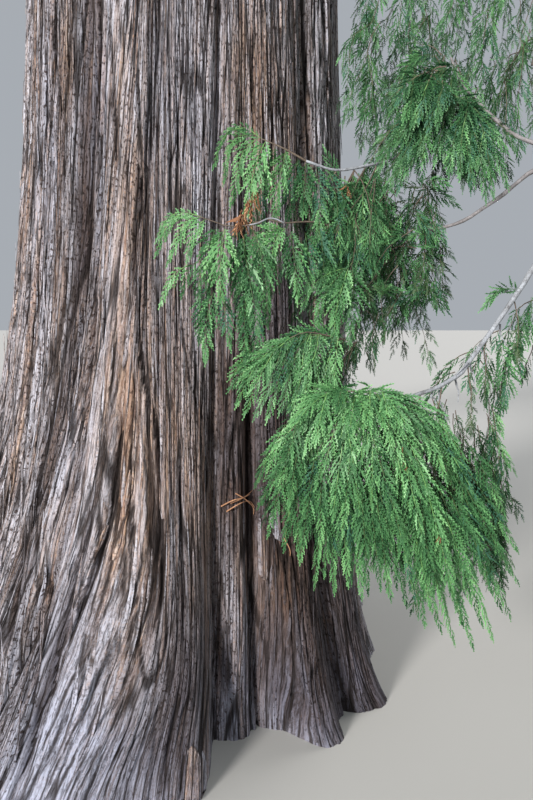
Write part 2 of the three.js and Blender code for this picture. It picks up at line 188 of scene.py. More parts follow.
def _fibre_table():
    at_t = np.cumsum([w for w, _ in LINES])
    rows = []
    for z in _Z:
        rows.append(np.interp(_T, at_t, [np.interp(z, LINE_Z, a) for _, a in LINES]))
    tab = np.array(rows)
    # on the unseen side the fibres draw together along the buttresses
    for c, k in ((18 + 360, 0.3), (52 + 360, 0.34), (98 + 360, 0.3), (138 + 360, 0.35)):
        e = tab - c
        tab = tab - e * k * np.exp(-_Z[:, None] / 0.34) * np.exp(-np.abs(e / 19) ** 4)
    # smooth round the stem and up it
    lin = 360.0 / len(_T)
    dev = tab - (170 + lin * np.arange(len(_T)))[None, :]
    for _ in range(10):
        dev = 0.25 * np.roll(dev, 1, 1) + 0.5 * dev + 0.25 * np.roll(dev, -1, 1)
    for _ in range(3):
        up, dn = np.vstack([dev[1:], dev[-1:]]), np.vstack([dev[:1], dev[:-1]])
        dev = 0.25 * up + 0.5 * dev + 0.25 * dn
    return dev


_DEV = _fibre_table()


def grain_angle(t, z):
    """Angle round the stem of fibre t (0 to AROUND) at height z."""
    a = np.mod(t, AROUND) / AROUND * len(_T)
    b = np.clip(z / 0.05, 0, len(_Z) - 1.001)
    i, j = np.floor(a).astype(int) % len(_T), np.floor(b).astype(int)
    fa, fb = a - np.floor(a), b - j
    i1 = (i + 1) % len(_T)
    dev = ((_DEV[j, i] * (1 - fa) + _DEV[j, i1] * fa) * (1 - fb) + (_DEV[j + 1, i] * (1 - fa) + _DEV[j + 1, i1] * fa) * fb)
    return 170 + 360.0 / AROUND * t + dev


def fibre_at(deg, z=1.0):
    """The fibre nearest to an angle at a height."""
    t = np.linspace(0, AROUND, 3000)
    return float(t[np.argmin(gap(grain_angle(t, t * 0 + z), deg))])


def seen(x, y):
    """Angle and height of the stem's surface at a place in the 533 x 800 frame."""
    d = np.arange(1.6, 4.2, 0.004)
    p = CAM + d[:, None] * (FWD + np.array([(x - 266.5) / FOCAL_PX, 0, 0]) + (400 - y) / FOCAL_PX * UPV)
    deg = np.degrees(np.arctan2(p[:, 1], p[:, 0]))
    hit = np.hypot(p[:, 0], p[:, 1]) < stem_r(deg, p[:, 2])
    i = int(np.argmax(hit)) if hit.any() else int(np.argmin(np.hypot(p[:, 0], p[:, 1])))
    return float(deg[i] % 360), float(p[i, 2])


# long seams and ridges of the seen side: places in the frame from the top down, half width there (px),
# depth (m, minus for a ridge), darkness (painted shade in and beside the seams), paleness
SEAM_ROWS = [
    (((86, -6), (87, 60), (84, 130), (81, 200), (77, 280), (69, 345), (57, 400), (45, 455), (33, 505), (22, 550), (12, 600), (2, 650)), 8.0, 0.018, 0.80, 0.0),
    (((95.7, -6), (97, 38), (95.7, 89), (92, 128), (89, 179), (87, 230), (84, 281), (79, 319), (71, 370), (61, 405), (51, 440), (42, 484), (30, 515),
      (20, 545), (13, 591), (5, 632)), 2.0, 0.016, 0.85, 0.0),
    (((101, -6), (102, 60), (100, 120), (97, 165)), 2.8, -0.006, 0.0, 0.55),
    (((40, -6), (41.5, 25), (39, 77), (35, 153), (31, 217), (30, 280), (25, 332)), 1.7, 0.010, 0.70, 0.0),
    (((52, 10), (55, 64), (60, 115), (62.5, 153), (62.5, 184)), 1.7, 0.009, 0.70, 0.0),
    (((102, 4), (110, 38), (113.5, 89), (116, 128), (116, 168)), 1.8, 0.010, 0.70, 0.0),
    (((158, -6), (157, 51), (154, 97), (150.5, 122), (150.5, 164)), 2.0, 0.012, 0.80, 0.0),
    (((139, 170), (138, 204), (134, 230), (133, 255), (135, 293), (139, 344), (143, 383), (150, 405), (155, 425), (161, 464), (163, 502), (162, 553),
      (158, 604), (150, 642)), 2.4, 0.014, 0.78, 0.0),
    (((142, 172), (138, 230), (137, 290), (141, 344), (148, 390), (156, 440)), 5.0, 0.006, 0.50, 0.0),
    (((184, 48), (182, 77), (176, 143), (170, 166), (171, 230)), 1.7, 0.008, 0.60, 0.0),
    (((178, 124), (182, 173), (190, 205)), 1.6, 0.006, 0.50, 0.0),
    (((303, -6), (305, 50), (309, 110), (312, 178)), 2.2, 0.014, 0.85, 0.0),
    (((120, 425), (116, 464), (110, 510), (99.5, 553), (76.5, 612), (64, 635), (55, 655), (48.5, 693), (38, 714), (25.5, 757), (14, 785)), 2.7, 0.018, 0.88, 0.0),
    (((97, 484), (89, 515), (83, 548), (76, 579), (66, 617), (57, 645), (47, 680), (37, 712), (27, 745)), 5.0, 0.014, 0.72, 0.0),
    (((108, 352), (110, 400), (110, 440), (104, 490), (95, 530), (86, 565), (71, 603)), 3.4, -0.012, 0.0, 0.55),
    (((45, 484), (41, 507), (36, 543), (23, 584), (12, 620)), 1.7, 0.008, 0.60, 0.0),
    (((41, 630), (38, 668), (31, 706), (20, 744), (10, 778)), 1.8, 0.009, 0.65, 0.0),
    (((178.6, 470), (180, 515), (184, 579), (182, 630), (189, 668)), 1.8, 0.008, 0.60, 0.0),
    (((180, 306), (184, 345), (190, 383), (196, 400), (200, 440)), 1.8, 0.008, 0.60, 0.0),
    (((207, 380), (208, 440), (206, 500)), 1.7, 0.008, 0.55, 0.0),
    (((234, 425), (235, 470), (235, 510), (235, 556)), 2.2, 0.010, 0.80, 0.0),
    (((134, 712), (127.5, 729), (115, 757), (99.5, 778)), 2.0, 0.010, 0.70, 0.0),
    (((121, 722), (109, 748), (94, 772)), 3.0, -0.008, 0.0, 0.45),
    (((184, 690), (176, 719), (167, 757), (162, 802)), 2.0, 0.010, 0.65, 0.0),
    (((184, 748), (181, 775), (178, 803)), 2.4, 0.010, 0.85, 0.0)]
SEAM_LINES = []


def seam_lines():
    """The same lines as height, angle and half width in degrees, from the foot up."""
    if not SEAM_LINES:
        for pts, w, depth, dark, pale in SEAM_ROWS:
            rows = []
            for x, y in pts:
                a, z = seen(x, y)
                a1, a2 = seen(x - w, y)[0], seen(x + w, y)[0]
                rows.append((z, a, max(0.42, min(3.5, 0.5 * abs(turn(a2, a1))))))
            SEAM_LINES.append((np.array(sorted(rows)).T, pts[0][1] < 0, depth, dark, pale, w < 3.0))
    return SEAM_LINES


def seams(deg, z):
    """Depth, painted shade and paleness of the long seams, and the crack in the narrow ones."""
    deep, dark, pale, crack = (np.zeros_like(deg) for _ in range(4))
    if float(np.min(z)) > 4.2:
        return deep, dark, pale, crack
    for i, ((zs, az, ws), on_up, d_, k_, p_, thin) in enumerate(seam_lines()):
        a = np.interp(z, zs, az) + 0.5 * (noise(deg * 0 + i, z / 0.11, 99, 61) - 0.5)
        w = np.interp(z, zs, ws) * (0.75 + 0.5 * noise(deg * 0 + i, z / 0.16, 99, 62))
        top = 0.7 if on_up else 0.05
        m = np.exp(-(turn(deg, a) / w) ** 2) * step(zs[0] - 0.04, zs[0] + 0.05, z) * (1 - step(zs[-1] - 0.05, zs[-1] + top, z))
        deep = deep + d_ * m
        dark = np.maximum(dark, k_ * m)
        pale = np.maximum(pale, p_ * m)
        if thin:
            crack = np.maximum(crack, min(1, k_ * 1.25) * m)
    return deep, dark, pale, crack


WRINKLED = []


def bark_point(t, z):
    """Positions, gaps to the furrows and strip tones for arrays of fibre t and height z."""
    deg = grain_angle(t, z)
    r = stem_r(deg, z)
    k = np.mod(t, AROUND) / AROUND
    run = z - 0.55 * (r - stem_r(deg, 0 * z + 2.6))
    foot = np.exp(-z / 0.42)
    # wandering of the fibres
    wob = noise(k * 34, run / 0.85, 34, 3) - 0.5
    wob2 = noise(k * 90, run / 0.26, 90, 4) - 0.5
    k1 = k * 92 + 0.62 * wob + 0.26 * wob2
    g1, id1 = cells(k1, run / 1.15 + 3 * noise(k * 30, z * 0, 30, 5), 92, 7)
    k2 = k * 214 + 1.3 * wob + 0.55 * wob2
    g2, id2 = cells(k2, run / 0.56 + 5 * noise(k * 70, z * 0, 70, 6), 214, 9)
    k3 = k * 38 + 0.25 * wob
    g3, id3 = cells(k3, run / 2.8 + 7 * noise(k * 12, z * 0, 12, 8), 38, 12)
    f1 = 1 - step(0.02, 0.15, g1)
    f2 = 1 - step(0.02, 0.20, g2)
    f3 = 1 - step(0.0, 0.07, g3)
    some = 0.45 + 0.75 * noise(k * 50, run / 0.7, 50, 13)
    swell = noise(k * 26, run / 2.2, 26, 14) + 0.5 * noise(k * 70, run / 0.9, 70, 15)
    lobe = np.exp(-(turn(deg, 311) / 9) ** 2) * np.exp(-((z - 0.28) / 0.30) ** 2) + 0.5 * np.exp(-(turn(deg, 256) / 8) ** 2) * np.exp(-((z - 0.45) / 0.14) ** 2)
    if not WRINKLED:
        WRINKLED.append(seen(168, 456))
    lobe = lobe + 0.8 * np.exp(-(turn(deg, WRINKLED[0][0]) / 1.6) ** 2) * np.exp(-((z - WRINKLED[0][1]) / 0.20) ** 2)
    wrinkle = noise(k * 70, run / 0.016, 70, 16) * (0.12 + 1.5 * lobe)
    fade = np.clip(1.15 - z / 25, 0.35, 1)
    h = (-0.0078 * f1 * some - 0.0036 * f2 - 0.009 * f3
         + 0.0050 * (id1 - 0.5) + 0.0026 * (id2 - 0.5) + 0.008 * (id3 - 0.5)
         + 0.011 * (swell - 0.75) + 0.0035 * (wrinkle - 0.3)) * fade * (1 - 0.25 * foot)
    # dark clefts down the middle of the flutes
    cleft = np.zeros_like(r)
    for a0, a1, depth, w, hh in FLUTES:
        a = a0 + (a1 - a0) * np.minimum(1, z / 2.6)
        d = gap(deg, a + 1.0 * (noise(k * 0 + 1, z / 0.7, 99, 18) - 0.5)) / (0.13 * w)
        s = np.exp(-z * 1000 / hh) * np.clip(depth / 60, 0.4, 1.2)
        cleft = np.maximum(cleft, np.exp(-d ** 2) * s)
    for t0, za, zb, wt, s in CLEFTS:
        at_t = t0 + 0.5 * (noise(k * 0 + t0, z / 0.45, 99, 19) - 0.5)
        d = (np.mod(t - at_t + AROUND / 2, AROUND) - AROUND / 2) / wt
        up = step(za - 0.12, za + 0.12, z) * (1 - step(zb - 0.25, zb + 0.25, z))
        cleft = np.maximum(cleft, np.exp(-d ** 2) * up * s)
    h = h - 0.022 * cleft
    sunk, _, _, crack = seams(deg, z)
    h = h - sunk
    # a length of bark that has peeled away below a cross crack
    for x0, x1, y0, y1, depth in PEELED:
        a0, z1 = seen((x0 + x1) / 2, y0)
        a1, z0 = seen((x0 + x1) / 2, y1)
        wa = 0.5 * abs(turn(seen(x1, y0)[0], seen(x0, y0)[0]))
        mid_a = a0 + turn(a1, a0) * np.clip((z1 - z) / (z1 - z0), 0, 1)
        inside = (1 - step(wa * 0.75, wa * 1.05, gap(deg, mid_a + 0.8 * wob2))) * step(z0 - 0.16, z0 + 0.10, z) * (1 - step(z1 - 0.004, z1 + 0.006, z))
        h = h - depth * inside
    r = np.maximum(r + h, 0.008)
    a = np.radians(deg)
    pos = np.stack([r * np.cos(a), r * np.sin(a), z + 0 * r], -1)
    rim = np.minimum(np.minimum(g1 / (0.35 + 0.65 * some), g3 * 5.5), np.clip(1.25 - 1.15 * cleft, 0.0, 1))
    rim = np.minimum(rim, np.clip(1.05 - 1.55 * crack, 0.0, 1))
    tone = 0.42 * id1 + 0.33 * id2 + 0.25 * id3
    return pos, np.clip(rim, 0, 1), tone, g2, id2, deg, run


# ------------------------------------------------------------------ materials
def new_mat(name):
    m = bpy.data.materials.new(name)
    m.use_nodes = True
    nt = m.node_tree
    return m, nt, nt.nodes["Principled BSDF"]


def plain(name, rgb, rough=0.62, spec=0.32):
    m, nt, p = new_mat(name)
    p.inputs["Base Color"].default_value = (*rgb, 1)
    p.inputs["Roughness"].default_value = rough
    p.inputs["Specular IOR Level"].default_value = spec
    m.diffuse_color = (*rgb, 1)
    return m


def link(nt, a, b):
    nt.links.new(a, b)


def node(nt, kind, **values):
    n = nt.nodes.new(kind)
    for k, v in values.items():
        if k in n.inputs:
            n.inputs[k].default_value = v
        else:
            setattr(n, k, v)
    return n


def mix(nt, fac, a, b, blend="MIX"):
    n = nt.nodes.new("ShaderNodeMix")
    n.data_type = "RGBA"
    n.blend_type = blend
    for sock, v in ((0, fac), (6, a), (7, b)):
        if hasattr(v, "is_linked"):
            nt.links.new(v, n.inputs[sock])
        elif sock == 0:
            n.inputs[0].default_value = v
        else:
            n.inputs[sock].default_value = (*v, 1)
    return n.outputs[2]


def maths(nt, op, a, b=None, c=None, clamp=False):
    n = nt.nodes.new("ShaderNodeMath")
    n.operation = op
    n.use_clamp = clamp
    for i, v in enumerate((a, b, c)):
        if v is None:
            continue
        if hasattr(v, "is_linked"):
            nt.links.new(v, n.inputs[i])
        else:
            n.inputs[i].default_value = v
    return n.outputs[0]


def ramp(nt, fac, stops):
    n = nt.nodes.new("ShaderNodeValToRGB")
    el = n.color_ramp.elements
    while len(el) < len(stops):
        el.new(0.5)
    for e, (p, c) in zip(el, stops):
        e.position = p
        e.color = (*c, 1) if len(c) == 3 else c
    nt.links.new(fac, n.inputs[0])
    return n.outputs[0]


def grey(v):
    return (v, v, v)


def bark_material(name, on_foot):
    """Bark drawn on the unrolled stem: across the fibres and along them."""
    m, nt, p = new_mat(name)
    att = {}
    for name in ("grain", "rim", "rim2", "tone", "strip", "warm", "pale", "shade", "cool", "foot"):
        n = node(nt, "ShaderNodeAttribute", attribute_name=name)
        att[name] = n.outputs["Vector"] if name == "grain" else n.outputs["Fac"]

    def scaled(vec, sx, sz):
        mp = node(nt, "ShaderNodeMapping")
        mp.inputs["Scale"].default_value = (sx, sz, 1)
        link(nt, vec, mp.inputs["Vector"])
        return mp.outputs[0]

    def fibre(vec, sx, sz, detail, rough=0.55, distort=0.0, out="Fac"):
        n = node(nt, "ShaderNodeTexNoise", noise_dimensions="2D", Scale=1.0, Detail=detail, Roughness=rough, Distortion=distort)
        link(nt, scaled(vec, sx, sz), n.inputs["Vector"])
        return n.outputs[out]

    def warped(vec, sx, sz, amount):
        """The grain, with the fibres wandering sideways."""
        c = fibre(vec, sx, sz, 2, 0.5, out="Color")
        v1 = node(nt, "ShaderNodeVectorMath", operation="SUBTRACT")
        link(nt, c, v1.inputs[0])
        v1.inputs[1].default_value = (0.5, 0.5, 0.5)
        v2 = node(nt, "ShaderNodeVectorMath", operation="MULTIPLY")
        link(nt, v1.outputs[0], v2.inputs[0])
        v2.inputs[1].default_value = (amount, amount * 4, 0)
        v3 = node(nt, "ShaderNodeVectorMath", operation="ADD")
        link(nt, vec, v3.inputs[0])
        link(nt, v2.outputs[0], v3.inputs[1])
        return v3.outputs[0]

    g1 = warped(att["grain"], 9, 1.6, 0.013)
    g2 = warped(g1, 46, 11, 0.0050)

    def plates(vec, sx, sz):
        """Long pointed strips: gap to the edge and numbers for each strip."""
        v = scaled(vec, sx, sz)
        e = node(nt, "ShaderNodeTexVoronoi", voronoi_dimensions="2D", feature="DISTANCE_TO_EDGE", Scale=1.0, Randomness=1.0)
        link(nt, v, e.inputs["Vector"])
        f = node(nt, "ShaderNodeTexVoronoi", voronoi_dimensions="2D", feature="F1", Scale=1.0, Randomness=1.0)
        link(nt, v, f.inputs["Vector"])
        sep = node(nt, "ShaderNodeSeparateColor")
        link(nt, f.outputs["Color"], sep.inputs[0])
        return e.outputs["Distance"], sep.outputs[0], sep.outputs[1]

    def blend(a, b):
        """a on the stem, b on the spread foot."""
        if not on_foot:
            return a
        n = node(nt, "ShaderNodeMix", data_type="FLOAT")
        link(nt, att["foot"], n.inputs[0])
        link(nt, a, n.inputs[2])
        link(nt, b, n.inputs[3])
        return n.outputs[0]

    pa = plates(g2, 58, 1.9)
    pf = plates(g2, 64, 1.5) if on_foot else pa
    ea, ra, wa = (blend(x, y) for x, y in zip(pa, pf))
    pa = plates(g2, 158, 6.2)
    pf = plates(g2, 190, 4.5) if on_foot else pa
    eb, rb, wb = (blend(x, y) for x, y in zip(pa, pf))
    fine = fibre(g2, 300, 24, 4, 0.66)
    fine = blend(fine, fibre(g2, 520, 30, 4, 0.66)) if on_foot else fine
    mid = fibre(g2, 105, 7, 4, 0.62)
    broad = fibre(g1, 17, 0.9, 3, 0.55)
    patch = fibre(g1, 6, 3.0, 3, 0.6)
    specks = fibre(g2, 150, 56, 2, 0.60)
    specks = blend(specks, fibre(g2, 340, 34, 2, 0.60)) if on_foot else specks
    grit = fibre(g2, 300, 130, 3, 0.65)
    ticks = fibre(g2, 60, 260, 2, 0.6)

    def band(v, lo, hi):
        n = node(nt, "ShaderNodeMapRange", interpolation_type="SMOOTHSTEP")
        n.inputs["From Min"].default_value = lo
        n.inputs["From Max"].default_value = hi
        link(nt, v, n.inputs["Value"])
        return n.outputs[0]

    # dark lines between the strips, of uneven strength
    la = maths(nt, "SUBTRACT", 1.0, band(ea, 0.016, 0.120))
    lb = maths(nt, "SUBTRACT", 1.0, band(eb, 0.03, 0.17))
    la = maths(nt, "MULTIPLY", la, band(mid, 0.36, 0.52))
    lb = maths(nt, "MULTIPLY", lb, band(fine, 0.42, 0.58))
    # the furrows of the relief itself
    lr = maths(nt, "SUBTRACT", 1.0, band(maths(nt, "MULTIPLY_ADD", fine, 0.12, maths(nt, "ADD", att["rim"], -0.06)), 0.035, 0.135))
    ls = maths(nt, "SUBTRACT", 1.0, band(maths(nt, "MULTIPLY_ADD", fine, 0.16, maths(nt, "ADD", att["rim2"], -0.08)), 0.035, 0.165))

    # weathered tones, from brown to silver lilac
    t = maths(nt, "MULTIPLY_ADD", ra, 0.25, maths(nt, "MULTIPLY_ADD", rb, 0.16, 0.10))
    t = maths(nt, "ADD", t, maths(nt, "MULTIPLY_ADD", fine, 0.95, -0.475))
    t = maths(nt, "ADD", t, maths(nt, "MULTIPLY_ADD", grit, 0.50, -0.250))
    t = maths(nt, "ADD", t, maths(nt, "MULTIPLY_ADD", mid, 0.34, -0.17))
    t = maths(nt, "ADD", t, maths(nt, "MULTIPLY_ADD", patch, 0.24, -0.12))
    t = maths(nt, "ADD", t, maths(nt, "MULTIPLY_ADD", att["tone"], 0.22, 0.10))
    t = maths(nt, "ADD", t, maths(nt, "MULTIPLY", att["pale"], 0.26))
    ridge = ramp(nt, t, [(0.04, (0.080, 0.060, 0.053)), (0.22, (0.224, 0.184, 0.174)), (0.40, (0.372, 0.332, 0.338)),
                         (0.60, (0.565, 0.540, 0.580)), (0.92, (0.690, 0.685, 0.750))])
    # warm fibres where the grey skin has come away
    w = maths(nt, "MULTIPLY_ADD", broad, 1.25, -0.62)
    w = maths(nt, "ADD", w, maths(nt, "MULTIPLY_ADD", wa, 0.70, -0.36))
    w = maths(nt, "ADD", w, maths(nt, "MULTIPLY_ADD", wb, 0.50, -0.25))
    w = maths(nt, "ADD", w, maths(nt, "MULTIPLY_ADD", att["warm"], 0.95, -0.20), clamp=True)
    tan = ramp(nt, maths(nt, "MULTIPLY_ADD", fine, 0.85, maths(nt, "MULTIPLY_ADD", mid, 0.45, maths(nt, "MULTIPLY_ADD", rb, 0.30, -0.32))),
               [(0.12, (0.120, 0.052, 0.028)), (0.36, (0.340, 0.185, 0.112)), (0.58, (0.560, 0.365, 0.240)),
                (0.86, (0.800, 0.610, 0.450))])
    col = mix(nt, maths(nt, "MULTIPLY", w, 0.80), ridge, tan)
    # small tan flakes
    fl = maths(nt, "SUBTRACT", 1.0, band(specks, 0.34, 0.40))
    col = mix(nt, maths(nt, "MULTIPLY", fl, maths(nt, "MULTIPLY_ADD", w, 0.55, 0.16)), col, (0.560, 0.345, 0.215))
    # small dark pits, scales and cross cracks
    pits = maths(nt, "MULTIPLY", band(specks, 0.585, 0.640), band(patch, 0.28, 0.46))
    col = mix(nt, maths(nt, "MULTIPLY", pits, maths(nt, "MULTIPLY_ADD", att["foot"], -0.40, 0.86)), col, (0.062, 0.032, 0.022))
    tk = maths(nt, "MULTIPLY", band(ticks, 0.62, 0.70), band(patch, 0.48, 0.64))
    if on_foot:
        calm = maths(nt, "MULTIPLY_ADD", att["foot"], -0.80, 1.0)
        tk = maths(nt, "MULTIPLY", tk, calm)
        pits = maths(nt, "MULTIPLY", pits, maths(nt, "MULTIPLY_ADD", att["foot"], -0.45, 1.0))
    col = mix(nt, maths(nt, "MULTIPLY", tk, 0.36), col, (0.055, 0.036, 0.028))
    # bluish tint (the foot's own bluish silver, and painted bluish shade low on the right), then painted shade
    col = mix(nt, maths(nt, "MULTIPLY", att["cool"], 0.70), col, (0.76, 0.83, 1.0), "MULTIPLY")
    col = mix(nt, att["shade"], col, (0.250, 0.232, 0.238), "MULTIPLY")
    # furrows
    col = mix(nt, maths(nt, "MULTIPLY", lb, 0.58), col, (0.050, 0.034, 0.028))
    col = mix(nt, maths(nt, "MULTIPLY", la, 0.84), col, (0.026, 0.018, 0.015))
    col = mix(nt, maths(nt, "MULTIPLY", ls, 0.40), col, (0.030, 0.020, 0.017))
    col = mix(nt, maths(nt, "MULTIPLY", lr, 0.86), col, (0.016, 0.011, 0.010))
    link(nt, col, p.inputs["Base Color"])
    link(nt, maths(nt, "MULTIPLY_ADD", mid, 0.16, 0.78), p.inputs["Roughness"])
    p.inputs["Specular IOR Level"].default_value = 0.22

    hgt = maths(nt, "MULTIPLY_ADD", fine, 0.70, maths(nt, "MULTIPLY", mid, 0.40))
    hgt = maths(nt, "MULTIPLY_ADD", grit, 0.26, hgt)
    hgt = maths(nt, "SUBTRACT", hgt, maths(nt, "MULTIPLY", la, 0.85))
    hgt = maths(nt, "SUBTRACT", hgt, maths(nt, "MULTIPLY", lb, 0.50))
    hgt = maths(nt, "SUBTRACT", hgt, maths(nt, "MULTIPLY", lr, 0.60))
    hgt = maths(nt, "MULTIPLY_ADD", ra, 0.30, hgt)
    hgt = maths(nt, "MULTIPLY_ADD", pits, -0.35, hgt)
    hgt = maths(nt, "MULTIPLY_ADD", tk, -0.45, hgt)
    b = node(nt, "ShaderNodeBump", Strength=1.0, Distance=0.0062)
    link(nt, hgt, b.inputs["Height"])
    link(nt, b.outputs[0], p.inputs["Normal"])
    return m


def limb_material(name, pale, dark, scale):
    m, nt, p = new_mat(name)
    tc = node(nt, "ShaderNodeTexCoord")
    n = node(nt, "ShaderNodeTexNoise", Scale=scale, Detail=4, Roughness=0.65)
    link(nt, tc.outputs["Object"], n.inputs["Vector"])
    n2 = node(nt, "ShaderNodeTexNoise", Scale=scale * 6, Detail=3, Roughness=0.6)
    link(nt, tc.outputs["Object"], n2.inputs["Vector"])
    f = maths(nt, "MULTIPLY_ADD", n2.outputs["Fac"], 0.5, maths(nt, "MULTIPLY", n.outputs["Fac"], 0.6))
    col = ramp(nt, f, [(0.36, dark), (0.52, tuple(0.5 * (a + b) for a, b in zip(dark, pale))), (0.68, pale)])
    link(nt, col, p.inputs["Base Color"])
    link(nt, maths(nt, "MULTIPLY_ADD", n.outputs["Fac"], 0.3, 0.6), p.inputs["Roughness"])
    b = node(nt, "ShaderNodeBump", Strength=0.8, Distance=0.003)
    link(nt, f, b.inputs["Height"])
    link(nt, b.outputs[0], p.inputs["Normal"])
    return m


BARK = bark_material("cedar_bark", False)
BARK_FOOT = bark_material("cedar_bark_foot", True)
LIMB = limb_material("limb_bark_silver", (0.46, 0.485, 0.53), (0.11, 0.105, 0.105), 40)
LILAC = limb_material("limb_bark_lilac", (0.33, 0.31, 0.32), (0.10, 0.085, 0.080), 34)
BOUGH = limb_material("bough_bark", (0.30, 0.27, 0.25), (0.075, 0.055, 0.045), 12)
FIBRE = limb_material("dry_fibre", (0.62, 0.33, 0.18), (0.24, 0.11, 0.06), 60)
TWIG = limb_material("twig_bark", (0.22, 0.17, 0.13), (0.055, 0.037, 0.026), 60)

# plain leaf colours, dealt out by spray: (axis, inner, outer)
LEAVES = [
    plain("leaf_axis_fresh", (0.190, 0.380, 0.110), 0.50, 0.40),
    plain("leaf_tip", (0.225, 0.465, 0.185), 0.46, 0.50),
    plain("leaf_light", (0.134, 0.340, 0.122), 0.46, 0.50),
    plain("leaf_mid", (0.076, 0.218, 0.075), 0.48, 0.45),
    plain("leaf_full", (0.043, 0.138, 0.049), 0.52, 0.36),
    plain("leaf_deep", (0.019, 0.073, 0.026), 0.62, 0.20),
    plain("leaf_blue", (0.044, 0.140, 0.082), 0.56, 0.30),
    plain("leaf_shade", (0.006, 0.027, 0.010), 0.75, 0.10),
    plain("leaf_grey", (0.090, 0.135, 0.070), 0.62, 0.22),
    plain("leaf_dead", (0.500, 0.275, 0.155), 0.70, 0.15),
    plain("leaf_stalk", (0.075, 0.120, 0.045), 0.60, 0.20),
    plain("leaf_rust", (0.250, 0.120, 0.065), 0.75, 0.12),
]
AX, TIP, LIGHT, MID, FULL, DEEP, BLUE, SHADE, GREY, DEAD, STALK, RUST = range(12)
# palettes: slots for stalk, inner branchlets, outer branchlets
PALETTES = np.array([
    (AX, LIGHT, TIP),      # 0 fresh
    (AX, MID, LIGHT),      # 1 bright
    (STALK, FULL, MID),    # 2 usual
    (STALK, DEEP, FULL),   # 3 deep
    (STALK, BLUE, MID),    # 4 bluish
    (STALK, DEEP, BLUE),   # 5 bluish shade
    # palettes 5 and 6 stand for foliage in shade: painted shade on the sprays behind and inside
    (STALK, SHADE, DEEP),  # 6 dark
    (STALK, GREY, FULL),   # 7 grey
    (RUST, RUST, DEAD),    # 8 dead
])
BRIGHTER = np.array([0, 0, 1, 2, 2, 4, 5, 2, 8])
DARKER = np.array([1, 2, 3, 6, 5, 6, 6, 3, 8])


# ------------------------------------------------------------------ meshes from arrays
def make_mesh(name, verts, faces, mats, slots=None, smooth=False, attrs=None, uv=None, normals=None):
    """faces is (n, 3) or (n, 4); attrs maps a name to a point array; uv is per face corner."""
    me = bpy.data.meshes.new(name)
    n, k = faces.shape
    me.vertices.add(len(verts))
    me.vertices.foreach_set("co", np.ascontiguousarray(verts, np.float32).ravel())
    me.loops.add(n * k)
    me.loops.foreach_set("vertex_index", np.ascontiguousarray(faces, np.int32).ravel())
    me.polygons.add(n)
    me.polygons.foreach_set("loop_start", np.arange(0, n * k, k, dtype=np.int32))
    for m in mats:
        me.materials.append(m)
    if slots is not None:
        me.polygons.foreach_set("material_index", np.ascontiguousarray(slots, np.int32))
    me.update(calc_edges=True)
    me.polygons.foreach_set("use_smooth", np.full(n, smooth))
    for a, v in (attrs or {}).items():
        if v.ndim == 2:
            at_ = me.attributes.new(a, "FLOAT_VECTOR", "POINT")
            at_.data.foreach_set("vector", np.ascontiguousarray(v, np.float32).ravel())
        else:
            at_ = me.attributes.new(a, "FLOAT", "POINT")
            at_.data.foreach_set("value", np.ascontiguousarray(v, np.float32))
    if uv is not None:
        lay = me.uv_layers.new(name="OFBake")
        lay.data.foreach_set("uv", np.ascontiguousarray(uv, np.float32).ravel())
    me.validate()
    if normals is not None:
        me.normals_split_custom_set_from_vertices(normals.tolist())
    ob = bpy.data.objects.new(name, me)
    bpy.context.scene.collection.objects.link(ob)
    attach(ob, "root")
    return ob


def grid_faces(nr, nc):
    i = np.arange(nr - 1)[:, None] * nc + np.arange(nc - 1)[None, :]
    return np.stack([i, i + 1, i + nc + 1, i + nc], -1).reshape(-1, 4)


# ------------------------------------------------------------------ the trunk
# colour of the seen side: place in the frame, width and height of the spot, strength
# the bark's own warm tan; the spot at (246, 52) paints the warm light of a patch of sunlight
WARM_AND_SUNLIT = [(132, 470, 26, 110, 0.55), (116, 400, 20, 60, 0.15), (148, 560, 18, 90, 0.6), (62, 560, 12, 60, 0.30), (274, 590, 16, 50, 0.55),
        (196, 560, 22, 140, 0.45), (60, 60, 10, 60, 0.5), (118, 700, 22, 90, 0.45), (118, 120, 24, 120, 0.25), (262, 110, 34, 70, 0.45),
        (233, 500, 16, 30, 0.6), (240, 400, 14, 60, 0.35), (142, 200, 16, 60, 0.55), (300, 560, 22, 40, 0.4), (112, 320, 20, 90, 0.20),
        (246, 52, 24, 44, 0.5), (165, 420, 16, 60, 0.35), (60, 330, 12, 70, 0.3)]
# the bark's own pale silver; the spots at (246, 52) and (290, 40) paint a patch of sunlight, and the one at (190, 76)
# is painted light over a cast shadow
PALE_AND_SUNLIT = [(52, 745, 44, 62, 0.62), (110, 770, 44, 50, 0.30), (42, 560, 18, 120, 0.35), (190, 76, 14, 18, 0.6), (48, 778, 36, 38, 1.0), (104, 60, 12, 80, 0.35), (48, 120, 12, 160, 0.45), (300, 726, 34, 18, 0.6), (72, 600, 14, 90, 0.35),
        (98, 110, 12, 90, 0.50), (35, 250, 14, 130, 0.30), (176, 90, 46, 110, 0.62), (205, 200, 30, 80, 0.65), (120, 300, 24, 60, 0.35),
        (236, 605, 12, 34, 0.6), (232, 716, 18, 20, 0.5), (300, 700, 30, 40, 0.30), (60, 400, 30, 60, 0.2), (130, 100, 40, 110, 0.35), (246, 52, 24, 44, 1.0), (290, 40, 20, 50, 0.3), (62, 735, 22, 40, 0.25)]
